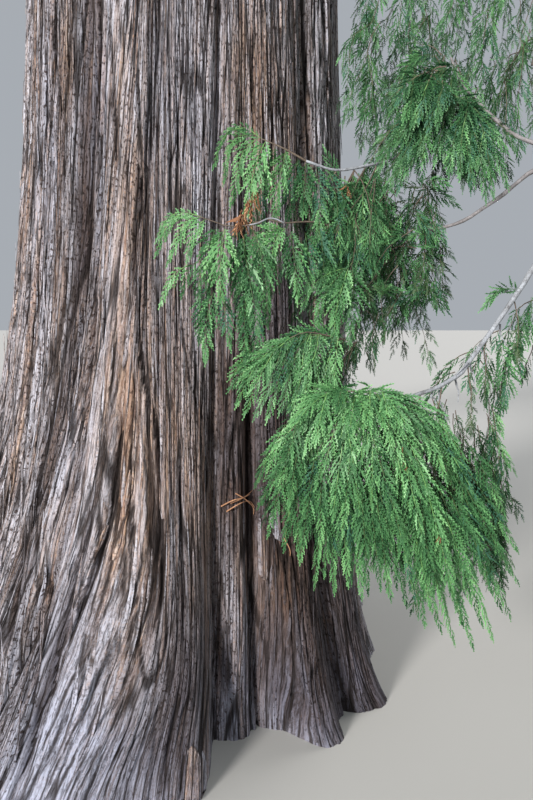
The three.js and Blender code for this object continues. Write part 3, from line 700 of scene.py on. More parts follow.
# painted shade, standing in for how the light falls: under the foliage, on the right side and along the left edge
DIM = [(265, 470, 26, 80, 0.60), (232, 390, 18, 56, 0.50), (238, 470, 15, 60, 0.50), (284, 296, 16, 42, 0.75), (268, 420, 24, 40, 0.5), (285, 440, 40, 60, 0.65), (300, 520, 40, 50, 0.45), (222, 520, 12, 120, 0.45), (255, 250, 40, 70, 0.30),
       (190, 690, 24, 80, 0.40), (360, 650, 30, 70, 0.95), (224, 664, 9, 26, 0.7), (258, 380, 34, 60, 0.6), (268, 150, 30, 80, 0.10),
       (150, 760, 20, 30, 0.15), (330, 560, 40, 60, 0.6), (284, 640, 40, 80, 0.55), (180, 620, 34, 130, 0.50), (60, 640, 60, 120, 0.25), (66, 110, 22, 150, 0.32), (64, 250, 24, 120, 0.18), (40, 640, 40, 60, 0.25), (150, 735, 50, 60, 0.35),
       (362, 660, 34, 80, 0.9), (88, 250, 12, 60, 0.35)]
# the foot's own bluish grey, and painted bluish shade in the shaded places low on the right, at (236, 700), (300, 710)
# and (362, 680)
BLUE_GREY_AND_SHADE = [(100, 90, 12, 120, 0.5), (48, 150, 14, 160, 0.4), (60, 770, 60, 50, 0.8), (236, 700, 22, 60, 0.9), (120, 790, 50, 30, 0.8), (300, 710, 44, 60, 0.8), (362, 680, 26, 50, 0.7),
             (178, 740, 22, 60, 0.5), (62, 440, 20, 60, 0.35), (60, 650, 50, 90, 0.35), (182, 90, 40, 90, 0.25)]


def spots(rows):
    """The same spots as angle and height on the stem."""
    out = []
    for x, y, wx, wy, s in rows:
        a, z = seen(x, y)
        a1, _ = seen(x - wx / 2, y)
        a2, _ = seen(x + wx / 2, y)
        out.append((a, z, max(1.5, min(26, abs(turn(a2, a1)))), wy * 0.0034, s))
    return out


SPOTS = {"warm": spots(WARM_AND_SUNLIT), "pale": spots(PALE_AND_SUNLIT), "shade": spots(DIM), "cool": spots(BLUE_GREY_AND_SHADE)}


def bark_attributes(T, Z, found, tint=0.0):
    pos, rim, tone, rim2, strip, deg, run = found
    k = T / AROUND * 2 * np.pi
    r0 = AROUND / 360 * STEM_R0
    grain = np.stack([r0 * k, run, 0 * run], -1)
    wid = noise(np.mod(T, AROUND) / AROUND * 18, Z / 1.3, 18, 31)

    def field(name):
        v = np.zeros_like(Z)
        for a, z, wa, wz, s in SPOTS[name]:
            v = v + s * np.exp(-(turn(deg, a) / wa) ** 2) * np.exp(-((Z - z) / wz) ** 2)
        return v

    warm = 0.24 + 0.5 * (wid - 0.42) + field("warm") - 0.35 * np.exp(-Z / 0.18)
    _, seam_shade, ridge, _ = seams(deg, Z)
    # paleness, with the painted sunlight and the painted light over a cast shadow from the pale spots
    pale = field("pale") + 0.12 + ridge
    # painted shade: the seams' dark bands, the shade spots, and the darker right side of the stem from 279 to 350
    # degrees
    shade = 0.92 * seam_shade + field("shade") + 0.22 * step(279, 287, deg) * step(350, 330, deg)
    cool = field("cool") + 0.20 + 0.25 * np.exp(-Z / 0.20)
    # how far the foot spreads the fibres
    a, b = np.radians(grain_angle(T - 0.8, Z)), np.radians(grain_angle(T + 0.8, Z))
    ra_, rb_ = stem_r(np.degrees(a), Z), stem_r(np.degrees(b), Z)
    wide = np.hypot(rb_ * np.cos(b) - ra_ * np.cos(a), rb_ * np.sin(b) - ra_ * np.sin(a)) / (1.6 * 2 * np.pi / AROUND * r0)
    clip = lambda v: np.clip(v, 0, 1).ravel()
    return {"grain": grain.reshape(-1, 3), "rim": clip(rim), "rim2": clip(rim2), "tone": clip(tone + tint), "strip": clip(strip),
            "warm": clip(warm + tint), "pale": clip(pale), "shade": clip(shade), "cool": clip(cool), "foot": clip((wide - 1.25) / 0.75)}


def bark_block(name, t, z, flat_inset=0.0):
    """One piece of the trunk: fibre columns t by rows z (metres)."""
    dt, dz = 0.12, 0.004
    T, Z = np.meshgrid(t, z)
    found = bark_point(T, Z)
    pos = found[0]
    if flat_inset:
        pos[0, :, :2] *= 1 - flat_inset
    a = bark_point(T + dt, Z)[0] - bark_point(T - dt, Z)[0]
    b = bark_point(T, Z + dz)[0] - bark_point(T, np.maximum(Z - dz, 0))[0]
    nrm = unit(np.cross(a, b))
    nr, nc = T.shape
    f = grid_faces(nr, nc)
    uu = np.broadcast_to(np.linspace(0.01, 0.99, nc)[None, :], T.shape).ravel()
    vv = np.broadcast_to(np.linspace(0.01, 0.99, nr)[:, None], T.shape).ravel()
    uv = np.stack([uu[f], vv[f]], -1)
    attrs = bark_attributes(T, Z, found)
    ob = make_mesh(name, pos.reshape(-1, 3), f, [BARK_FOOT if attrs["foot"].max() > 0 else BARK], smooth=True, attrs=attrs,
                   uv=uv, normals=nrm.reshape(-1, 3))
    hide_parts("trunk")
    return ob


def loose_strips(name, count, t_range, z_range, seed, length=(0.10, 0.50), width=(0.0025, 0.0075), curl=0.009):
    """Thin lengths of bark that have come loose, lying along the fibres with their ends lifted."""
    g = np.random.default_rng(seed)
    n, rows = count, 9
    t0 = g.uniform(*t_range, n)[:, None, None]
    z0 = g.uniform(*z_range, n)[:, None, None]
    L = g.uniform(*length, n)[:, None, None]
    w = g.uniform(*width, n)[:, None, None]
    u = np.linspace(0, 1, rows)[None, :, None]
    v = np.array([-0.5, 0.0, 0.5])[None, None, :]
    tip = np.where(g.random((n, 1, 1)) < 0.5, u, 1 - u)
    half = w * np.clip(np.minimum(u / 0.16, (1 - u) / 0.35), 0.02, 1) ** 0.7
    drift = g.normal(0, 0.35, (n, 1, 1)) * u
    T = np.mod(t0 + drift + v * np.degrees(half / 0.75), AROUND)
    Z = np.clip(z0 + L * (u - 0.5) + 0 * v, 0.01, None)
    found = bark_point(T, Z)
    pos = found[0]
    out = pos.copy()
    out[..., 2] = 0
    out = unit(out)
    lift = 0.0015 + g.uniform(0, 1, (n, 1, 1)) ** 2 * curl * tip ** 3 + 0.0012 * (v == 0)
    # strips bridge the furrows, so they are pulled out to the ridge level along their length
    r = np.hypot(pos[..., 0], pos[..., 1])
    rm = np.maximum(r, r.mean(axis=(1, 2), keepdims=True) - 0.004)
    pos = pos + out * ((rm - r) * 0.7 + lift)[..., None]
    attrs = bark_attributes(T, Z, found)
    each = np.broadcast_to(g.uniform(0, 1, (n, 1, 1)), T.shape).ravel()
    each2 = np.broadcast_to(g.uniform(0, 1, (n, 1, 1)), T.shape).ravel()
    attrs["grain"] = attrs["grain"] + np.stack([each * 3, each2 * 5, 0 * each], -1)
    attrs["rim"] = attrs["rim2"] = np.ones_like(each)
    attrs["warm"] = np.clip(attrs["warm"] * 0.5 + 0.85 * (each2 - 0.42), 0, 1)
    attrs["pale"] = np.clip(attrs["pale"] * 0.6 + 0.8 * (each - 0.55), 0, 1)
    i = np.arange(rows - 1)[:, None] * 3 + np.arange(2)[None, :]
    f = np.stack([i, i + 1, i + 4, i + 3], -1).reshape(-1, 4)
    F = (f[None] + (np.arange(n) * rows * 3)[:, None, None]).reshape(-1, 4)
    ob = make_mesh(name, pos.reshape(-1, 3), F, [BARK], smooth=True, attrs=attrs)
    return ob


# loose planks by their place in the frame: top, bottom, widths there (px), lift (m), warmth, paleness
PLANKS = [((193, 747), (188, 803), 13, 17, 0.017, 0.95, 0.45), ((201, 752), (203, 800), 5, 7, 0.012, 0.10, 0.30),
          ((257, 518), (266, 579), 4, 11, 0.022, 0.85, 0.40), ((272, 512), (283, 541), 7, 11, 0.020, 0.05, 0.75),
          ((106, 527), (80, 590), 7, 6, 0.014, 0.70, 0.60), ((80, 590), (66, 634), 6, 3, 0.013, 0.60, 0.60),
          ((131, 470), (112, 560), 6, 5, 0.012, 0.85, 0.50), ((160, 400), (163, 520), 7, 9, 0.010, 0.80, 0.45)]


def planks():
    for k, ((xa, ya), (xb, yb), wa, wb, lift, warm, pale) in enumerate(PLANKS):
        n = 12
        u = np.r_[0, np.linspace(0, 1, n), 1]
        v = np.array([-0.5, -0.5, -0.2, 0.1, 0.5, 0.5])
        rise = np.array([-0.6, 0.75, 1.0, 0.9, 0.7, -0.6])
        T, Z = np.zeros((n + 2, 6)), np.zeros((n + 2, 6))
        for i, a in enumerate(u):
            bend = 2.2 * math.sin(2.6 * a + k)
            point = min(1, 0.25 + a / 0.18, 0.35 + (1 - a) / 0.10)
            for j, b in enumerate(v):
                deg, z = seen(xa + (xb - xa) * a + bend + b * (wa + (wb - wa) * a) * point, ya + (yb - ya) * a)
                T[i, j], Z[i, j] = fibre_at(deg, z), max(z, 0.01)
        found = bark_point(T, Z)
        pos = found[0].copy()
        out = pos.copy()
        out[..., 2] = 0
        out = unit(out)
        r = np.hypot(pos[..., 0], pos[..., 1])
        r_new = 0.25 * r + 0.75 * r.mean(axis=1, keepdims=True) + 0.55 * lift * rise[None, :]
        r_new[[0, -1]] -= 0.9 * lift
        pos = pos + out * (r_new - r)[..., None]
        attrs = bark_attributes(T, Z, found)
        one = np.ones(T.size)
        attrs["rim"] = attrs["rim2"] = one
        attrs["warm"], attrs["pale"] = warm * one, pale * one
        attrs["shade"] = 0.5 * attrs["shade"]
        i = np.arange(n + 1)[:, None] * 6 + np.arange(5)[None, :]
        F = np.stack([i, i + 6, i + 7, i + 1], -1).reshape(-1, 4)
        ob = make_mesh(f"loose_plank_{k + 1}", pos.reshape(-1, 3), F, [BARK], smooth=False, attrs=attrs)
    # dry fibres caught in the flute, and the dry twig below the lilac plank
    loose = Tubes()
    for rows in (((221, 506), (231, 499), (242, 496), (252, 490)), ((226, 511), (238, 502), (247, 500), (254, 507)), ((235, 493), (243, 498), (250, 506), (253, 514)),
                 ((230, 503), (240, 497), (249, 494)), ((283, 538), (286, 548), (289, 558))):
        pts = []
        for i, (x, y) in enumerate(rows):
            deg, z = seen(x, y)
            a = math.radians(deg)
            r = float(stem_r(deg, z)) + (0.004 if i in (0, len(rows) - 1) else 0.022)
            pts.append([r * math.cos(a), r * math.sin(a), z])
        loose.add(spline(np.array(pts), 10), 0.0026, 0.0012, 5)
    loose.build("loose_fibres", FIBRE, "bark")


def build_trunk():
    t_of = fibre_at
    # the seen side, from the left shoulder round to the right edge, is finer
    splits = [t_of(190), t_of(215), t_of(234), t_of(248), t_of(262), t_of(275), t_of(288), t_of(301), t_of(318), t_of(345)]
    rows_a = np.linspace(0, 0.98, 71)
    rows_b = np.linspace(0.98, 3.1, 128)
    for i in range(len(splits) - 1):
        a, b = splits[i], splits[i + 1]
        t = np.linspace(a, b, int(round((b - a) / 0.36)) + 1)
        bark_block(f"bark_foot_{i + 1}", t, rows_a)
        bark_block(f"bark_stem_{i + 1}", t, rows_b)
    a0, b0 = splits[-1], splits[0] + AROUND
    back = np.linspace(a0, b0, 6)
    for i in range(5):
        t = np.linspace(back[i], back[i + 1], int(round((back[i + 1] - back[i]) / 1.0)) + 1)
        bark_block(f"bark_foot_back_{i + 1}", t, np.linspace(0, 1.5, 43))
        bark_block(f"bark_stem_back_{i + 1}", t, np.linspace(1.5, 3.1, 33))
    # upper stem, mostly inside the crown
    for i, (z0, z1, nz, cols) in enumerate([(3.05, 6.0, 26, 200), (6.0, 10.5, 26, 120), (10.5, 16.5, 24, 72), (16.5, 22.5, 20, 48), (22.5, 27.7, 16, 30)]):
        parts = 2 if i < 2 else 1
        for j in range(parts):
            t = np.linspace(j * AROUND / parts, (j + 1) * AROUND / parts, cols // parts + 1)
            bark_block(f"bark_upper_{i + 1}_{j + 1}", t, np.linspace(z0, z1, nz), flat_inset=0.015 if i == 0 else 0)
    planks()
    front = (t_of(205), t_of(340))
    loose_strips("bark_strips_front", 620, front, (0.12, 2.90), 71)
    loose_strips("bark_strips_back", 500, (t_of(340), t_of(205) + AROUND), (0.15, 3.0), 72)
    loose_strips("bark_strips_upper", 420, (0, AROUND), (3.1, 8.0), 73, length=(0.2, 0.8), width=(0.008, 0.025), curl=0.02)


# ------------------------------------------------------------------ limbs
def spline(pts, n):
    """n points, evenly spaced, on a smooth curve through pts."""
    p = np.asarray(pts, float)
    p = np.vstack([2 * p[0] - p[1], p, 2 * p[-1] - p[-2]])
    out = []
    for i in range(1, len(p) - 2):
        t = np.linspace(0, 1, 24, endpoint=False)[:, None]
        a, b, c, d = p[i - 1], p[i], p[i + 1], p[i + 2]
        out.append(0.5 * ((2 * b) + (c - a) * t + (2 * a - 5 * b + 4 * c - d) * t ** 2 + (3 * b - a - 3 * c + d) * t ** 3))
    out = np.vstack(out + [p[-2][None]])
    s = np.concatenate([[0], np.cumsum(np.linalg.norm(np.diff(out, axis=0), axis=1))])
    q = np.linspace(0, s[-1], n)
    return np.stack([np.interp(q, s, out[:, k]) for k in range(3)], -1)


class Tubes:
    """Round, tapering limbs collected into one mesh."""

    def __init__(self):
        self.v, self.f, self.n = [], [], 0

    def add(self, path, r0, r1, sides=6, rough=0.0, power=0.9, cap=True):
        path = np.asarray(path, float)
        m = len(path)
        d = unit(np.gradient(path, axis=0))
        ref = np.array([0.0, 0, 1]) if abs(d[0][2]) < 0.9 else np.array([1.0, 0, 0])
        a = unit(np.cross(d[0], ref))
        A = [a]
        for i in range(1, m):
            a = unit(a - np.dot(a, d[i]) * d[i])
            A.append(a)
        A = np.array(A)
        B = np.cross(d, A)
        t = np.linspace(0, 1, m)
        r = r0 + (r1 - r0) * t ** power
        th = np.linspace(0, 2 * np.pi, sides, endpoint=False)
        rr = r[:, None] * (1 + rough * (RNG.random((m, sides)) - 0.5))
        v = path[:, None, :] + rr[..., None] * (A[:, None, :] * np.cos(th)[None, :, None] + B[:, None, :] * np.sin(th)[None, :, None])
        i = np.arange(m - 1)[:, None] * sides
        j = np.arange(sides)[None, :]
        k = (j + 1) % sides
        f = np.stack([i + j, i + k, i + sides + k, i + sides + j], -1).reshape(-1, 4)
        self.v.append(v.reshape(-1, 3))
        self.f.append(f + self.n)
        self.n += m * sides
        if cap:
            tip = path[-1] + d[-1] * r[-1] * 1.2
            self.v.append(np.repeat(tip[None], 1, 0))
            c = self.n
            base = self.n - sides
            q = np.arange(sides)
            self.f.append(np.stack([base + q, base + (q + 1) % sides, np.full(sides, c), np.full(sides, c)], -1))
            self.n += 1

    def build(self, name, mat, slot):
        v = np.vstack(self.v)
        f = np.vstack(self.f)
        # degenerate quads are the tips' triangles
        tri = f[:, 2] == f[:, 3]
        t = np.vstack([f[~tri][:, [0, 1, 2]], f[~tri][:, [0, 2, 3]], f[tri][:, :3]])
        ob = make_mesh(name, v, t, [mat], smooth=True)
        return ob


# ------------------------------------------------------------------ spray templates
class Template:
    def __init__(self):
        self.v, self.f, self.part = [], [], []

    def kite(self, p, d, length, width, part, lift=0.0, sharp=0.42):
        """A flat branchlet from p along d, in the spray's plane, with its own outline."""
        p, d = np.asarray(p, float), unit(np.asarray(d, float))
        s = np.array([-d[1], d[0], 0])
        n = len(self.v)
        mid = p + d * length * sharp
        self.v += [p, mid + s * width / 2 + [0, 0, lift], p + d * length + [0, 0, lift * 2], mid - s * width / 2 - [0, 0, lift]]
        self.f += [[n, n + 3, n + 2], [n, n + 2, n + 1]]
        self.part += [part, part]

    def scale(self, y, side, ang, length, base, part, lift=0.0):
        """One pointed scale-like branchlet that leaves the axis at y."""
        n = len(self.v)
        tip = np.array([side * math.sin(ang) * length, y + math.cos(ang) * length, lift])
        self.v += [np.array([0, y - base / 2, 0]), np.array([0, y + base / 2, 0]), tip]
        self.f += [[n, n + 1, n + 2] if side < 0 else [n, n + 2, n + 1]]
        self.part += [part]

    def arrays(self):
        return np.array(self.v), np.array(self.f), np.array(self.part)


def feather(seed, pairs, tooth, wide, axis):
    """A narrow feather of length 1 along y: an axis with slim, pointed branchlets set alternately and slanting on it."""
    g = np.random.default_rng(seed)
    t = Template()
    t.kite((0, 0, 0), (0, 1, 0), 1.0, axis, 1, sharp=0.5)
    for i in range(pairs * 2):
        y = 0.03 + 0.90 * (i + 0.5) / (pairs * 2)
        side = 1 if i % 2 else -1
        ang = math.radians(g.uniform(29, 38) - 10 * y)
        ln = tooth * (0.78 + 0.22 * min(1, y / 0.2)) * (1 - 0.52 * y) * g.uniform(0.86, 1.15)
        t.kite((0, y, 0), (side * math.sin(ang), math.cos(ang), 0), ln, wide * (1 - 0.25 * y) * g.uniform(0.88, 1.12),
               1 if y < 0.42 else 2, lift=g.normal(0, 0.010), sharp=0.58)
    t.kite((0, 0.88, 0), (g.uniform(-0.1, 0.1), 1, 0), 0.16, wide, 2)
    return t.arrays()


def plain_feather(seed, pairs):
    """The same for the inner layers, with each branchlet one pointed face."""
    g = np.random.default_rng(seed)
    t = Template()
    t.kite((0, 0, 0), (0, 1, 0), 1.0, 0.05, 0, sharp=0.3)
    for i in range(pairs * 2):
        y = 0.06 + 0.86 * (i + 0.5) / (pairs * 2)
        ang = math.radians(g.uniform(34, 46) - 12 * y)
        t.scale(y, 1 if i % 2 else -1, ang, 1.3 / pairs * (1 - 0.50 * y) * g.uniform(0.85, 1.15), 0.62 / pairs, 1 if y < 0.55 else 2, g.normal(0, 0.02))
    t.kite((0, 0.90, 0), (g.uniform(-0.1, 0.1), 1, 0), 0.13, 0.06, 2)
    return t.arrays()


def open_spray(seed, laterals, pairs, reach):
    """A whole flat spray of length 1: alternate feathers on an axis, each with a few branchlets."""
    g = np.random.default_rng(seed)
    t = Template()
    t.kite((0, 0, 0), (0, 1, 0), 1.0, 0.020, 0, sharp=0.25)
    for i in range(laterals):
        y = 0.06 + 0.88 * (i + 0.5) / laterals
        side = 1 if i % 2 else -1
        env = min(1, (y + 0.10) / 0.34) ** 0.7 * (1 - 0.84 * max(0, (y - 0.22) / 0.78) ** 1.05)
        L = reach * env * g.uniform(0.85, 1.12) + 0.06
        ang = math.radians(g.uniform(36, 44) - 12 * y)
        d = np.array([side * math.sin(ang), math.cos(ang), 0])
        base = np.array([0, y, g.normal(0, 0.008)])
        t.kite(base, d, L, 0.030, 1 if y < 0.6 else 2, lift=g.normal(0, 0.008), sharp=0.4)
        for k in range(pairs):
            q = 0.18 + 0.66 * (k + 0.5) / pairs
            for s2 in (1, -1):
                a2 = s2 * math.radians(g.uniform(32, 44))
                c, s_ = math.cos(a2), math.sin(a2)
                dd = np.array([d[0] * c - d[1] * s_, d[0] * s_ + d[1] * c, 0])
                ln = (0.095 - 0.035 * q) * g.uniform(0.8, 1.2)
                p = base + d * L * q
                n = len(t.v)
                t.v += [p - d * 0.026, p + d * 0.026, p + dd * ln + [0, 0, g.normal(0, 0.008)]]
                t.f += [[n, n + 1, n + 2] if s2 > 0 else [n, n + 2, n + 1]]
                t.part += [1 if q < 0.5 and y < 0.6 else 2]
    t.kite((0, 0.93, 0), (g.uniform(-0.1, 0.1), 1, 0), 0.12, 0.035, 2)
    return t.arrays()


def far_spray(seed, laterals, reach):
    """The same spray as it reads from far off: one slim blade for each side shoot."""
    g = np.random.default_rng(seed)
    t = Template()
    t.kite((0, 0, 0), (0, 1, 0), 1.0, 0.05, 0, sharp=0.3)
    for i in range(laterals):
        y = 0.04 + 0.86 * (i + 0.5) / laterals
        side = 1 if i % 2 else -1
        env = min(1, (y + 0.10) / 0.30) ** 0.7 * (1 - 0.84 * max(0, (y - 0.22) / 0.78))
        ang = math.radians(g.uniform(34, 46) - 12 * y)
        t.kite((0, y, 0), (side * math.sin(ang), math.cos(ang), 0), reach * env * g.uniform(0.8, 1.15) + 0.08, 0.075, 1 if i < laterals * 0.6 else 2,
               lift=g.normal(0, 0.012), sharp=0.5)
    t.kite((0, 0.9, 0), (g.uniform(-0.1, 0.1), 1, 0), 0.16, 0.07, 2)
    return t.arrays()


def stalk():
    t = Template()
    t.kite((0, -0.04, 0), (0, 1, 0), 1.08, 0.06, 0, sharp=0.5)
    return t.arrays()


T_LONG = [feather(s, 5, 0.185, 0.050, 0.078) for s in range(1, 9)]
T_FEATHER = [feather(s, 4, 0.215, 0.074, 0.110) for s in range(11, 19)]
T_SHORT = [feather(s, 2, 0.330, 0.125, 0.165) for s in range(21, 29)]
T_PLAIN = [plain_feather(s, 4) for s in range(31, 37)]
T_STALK = [stalk()]
T_OPEN = [open_spray(s, 15, 2, 0.40) for s in range(41, 46)]
T_FAR = [far_spray(s, 11, 0.42) for s in range(51, 57)]
LONG, FEATHER, SHORT, PLAIN, STALKS, OPEN, FAR = range(7)
TEMPLATES = [T_LONG, T_FEATHER, T_SHORT, T_PLAIN, T_STALK, T_OPEN, T_FAR]


class Sprays:
    """Instances of the templates, joined into one mesh."""

    def __init__(self):
        self.rows = []

    def add(self, kind, o, d, n, length, bend, pal, wide=1.0, curl=0.0):
        """o origin, d direction, n the plane's normal; bend is the droop in radians along the spray, curl its bow in the plane."""
        self.rows.append(np.array([[kind, *o, *d, *n, length, bend, pal, wide, curl]], float))

    def many(self, kind, o, d, n, length, bend, pal, wide, curl):
        self.rows.append(np.column_stack([kind, o, d, n, length, bend, pal, wide, curl]))

    def build(self, name, slot, keep=None):
        rows = np.vstack(self.rows)
        if keep is not None:
            rows = rows[keep(rows)]
        V, F, S, n0, tris = [], [], [], 0, 0
        pick = RNG.integers(0, 1000, len(rows))
        for kind, templates in enumerate(TEMPLATES):
            for ti, (tv, tf, tp) in enumerate(templates):
                sel = np.nonzero((rows[:, 0] == kind) & (pick % len(templates) == ti))[0]
                if not len(sel):
                    continue
                r = rows[sel]
                o, d, n = r[:, 1:4], unit(r[:, 4:7]), r[:, 7:10]
                L, bend, pal, wide = r[:, 10], r[:, 11], r[:, 12].astype(int), r[:, 13]
                n = unit(n - (n * d).sum(1, keepdims=True) * d)
                x = np.cross(d, n)
                b = np.where(np.abs(bend) < 1e-3, 1e-3, bend)[:, None]
                y = tv[None, :, 1]
                along = np.sin(b * y) / b
                away = -(1 - np.cos(b * y)) / b
                # the side shoots droop a little as well
                ax = tv[None, :, 0] * wide[:, None]
                away = away - 0.55 * ax ** 2
                ax = ax + r[:, 14][:, None] * y ** 2
                zz = tv[None, :, 2]
                P = (o[:, None, :] + L[:, None, None] * (ax[..., None] * x[:, None, :]
                     + (along + 0 * ax)[..., None] * d[:, None, :]
                     + (away + zz)[..., None] * n[:, None, :]))
                m, nv = P.shape[:2]
                V.append(P.reshape(-1, 3))
                F.append((tf[None] + (n0 + np.arange(m) * nv)[:, None, None]).reshape(-1, 3))
                S.append(PALETTES[pal][:, tp].reshape(-1))
                n0 += m * nv
                tris += m * len(tf)
        V, F, S = np.vstack(V), np.vstack(F), np.concatenate(S)
        print(name, len(rows), "sprays", len(F), "triangles")
        V[:, 2] = np.maximum(V[:, 2], 0.05)
        ob = make_mesh(name, V, F, LEAVES, slots=S)
        return ob


# ------------------------------------------------------------------ low boughs by the trunk
def low_boughs():
    mm = lambda rows: np.array(rows, float) / 1000
    stem = lambda deg, z: [1000 * (stem_r(deg, z) - 0.06) * math.cos(math.radians(deg)),
                           1000 * (stem_r(deg, z) - 0.06) * math.sin(math.radians(deg)), z * 1000]
    big = Tubes()
    main = mm([stem(330, 3.5), [760, -500, 3480], [1180, -760, 3200], [1480, -920, 2720], [1520, -960, 2350], [1640, -1000, 2200], [1900, -1100, 2080]])
    up = mm([stem(342, 3.95), [1000, -380, 3760], [1250, -450, 3300], [1330, -500, 2850]])
    rear = mm([stem(352, 4.3), [1100, -280, 4150], [1700, -430, 3700], [2250, -500, 3150]])
    big.add(spline(main, 26), 0.066, 0.024, 9, 0.10)
    big.add(spline(up, 18), 0.047, 0.014, 8, 0.10)
    big.add(spline(rear, 18), 0.060, 0.022, 8, 0.10)
    outer = mm([[1900, -1100, 2080], [2150, -1230, 1960], [2420, -1370, 1640], [2560, -1460, 1250]])
    rear2 = mm([[2250, -500, 3150], [2620, -460, 2880], [2980, -450, 2420], [3120, -470, 1950]])
    up2 = mm([[1330, -500, 2850], [1300, -560, 2600], [1240, -600, 2350]])
    big.add(spline(outer, 12), 0.024, 0.006, 7, 0.1)
    big.add(spline(rear2, 12), 0.022, 0.006, 7, 0.1)
    big.add(spline(up2, 8), 0.014, 0.005, 6, 0.1)
    ob = big.build("limbs_low_heavy", BOUGH, "limb_bark")
    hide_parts("bough_low_main", "bough_low_upper", "bough_low_rear")

    thin = Tubes()
    a = np.vstack([mm([[1560, -975, 2290], [1470, -930, 2110]]), [at(*q) for q in ((600, 152, 2.66), (560, 152, 2.65), (533, 142.6, 2.65), (517, 136.5, 2.65), (508, 130, 2.65), (488, 112.5, 2.66), (476, 99, 2.67),
                                                  (464, 86, 2.68), (457, 72, 2.69), (451, 58, 2.70))]])
    b = np.vstack([mm([[1610, -990, 2230], [1480, -930, 2060]]), [at(*q) for q in ((590, 166, 2.66), (560, 164, 2.66), (533, 171, 2.66), (517, 183, 2.655), (504, 194, 2.65), (485, 207, 2.65), (465, 220, 2.66), (448, 226, 2.68), (425, 232, 2.72))]])
    c = np.vstack([mm([[1665, -1008, 2185], [1540, -985, 2090], [1410, -960, 1960]]), [at(*q) for q in ((560, 232, 2.62), (533, 268, 2.55), (521, 288, 2.52), (499, 320, 2.47), (483, 343, 2.44), (470, 360, 2.41),
                                                  (461, 373, 2.39), (438, 387, 2.35), (419, 394, 2.32), (400, 398, 2.29), (386, 399, 2.27))]])
    d = np.array([at(*q) for q in ((466, 88, 2.68), (444, 104, 2.76), (420, 132, 2.78), (394, 158, 2.68), (370, 165, 2.58), (336, 170, 2.52), (306, 161, 2.48), (285, 149, 2.46), (262, 139, 2.44))])
    thin.add(spline(c, 50), 0.0125, 0.0050, 8, 0.26)
    lilac = Tubes()
    lilac.add(spline(a, 50), 0.0125, 0.0040, 8, 0.26)
    lilac.add(spline(b, 40), 0.0110, 0.0045, 8, 0.26)
    ob = lilac.build("limbs_low_lilac", LILAC, "limb_bark")
    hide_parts("bough_low_a", "bough_low_b")
    # hanging, dead side twigs of the lowest limb, and stubs on it
    g = np.random.default_rng(8)
    for x, y, ex, ey in ((420, 395, 425, 432), (440, 388, 444, 424), (455, 376, 458, 402), (405, 398, 401, 416), (470, 362, 474, 384),
                         (449, 381, 468, 362), (482, 348, 486, 372), (432, 391, 436, 404), (500, 322, 506, 346)):
        o, e = at(x, y + 2, 2.27 + 0.0019 * (x - 386)), at(ex, ey, 2.27 + 0.0019 * (x - 386))
        k = g.normal(0, 0.006, (2, 3))
        thin.add(spline([o, o + (e - o) * 0.35 + k[0], o + (e - o) * 0.7 + k[1], e], 9), 0.0036, 0.0012, 5, 0.3)
    thin.add(spline(d[:7], 40), 0.0052, 0.0040, 7, 0.25)
    thin.add(spline([at(*q) for q in ((249, 225, 2.40), (258, 223, 2.405), (268, 218.5, 2.42), (276, 219, 2.43), (284, 223, 2.44))], 10), 0.0020, 0.0024, 6, 0.25)
    ob = thin.build("limbs_low_silver", LIMB, "limb_bark")
    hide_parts("bough_low_c", "bough_low_d")
    brown = Tubes()
    brown.add(spline(d[6:], 20), 0.0036, 0.0016, 7, 0.2)
    ob = brown.build("limb_low_brown", TWIG, "limb_bark")
    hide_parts("bough_low_d")
    return {"main": main, "up": up, "rear": rear, "outer": outer, "rear2": rear2, "up2": up2, "a": a, "b": b, "c": c, "d": d}


def facing(p, spread, g):
    """A spray's plane: mostly broadside to the open side, turned about by up to spread radians."""
    v = unit(CAM - p)
    a, e = g.normal(0, spread), g.normal(0, spread * 0.6)
    c, s = math.cos(a), math.sin(a)
    v = np.array([v[0] * c - v[1] * s, v[0] * s + v[1] * c, v[2] + e])
    return unit(v)


DOWN = np.array([0.0, 0, -1.0])


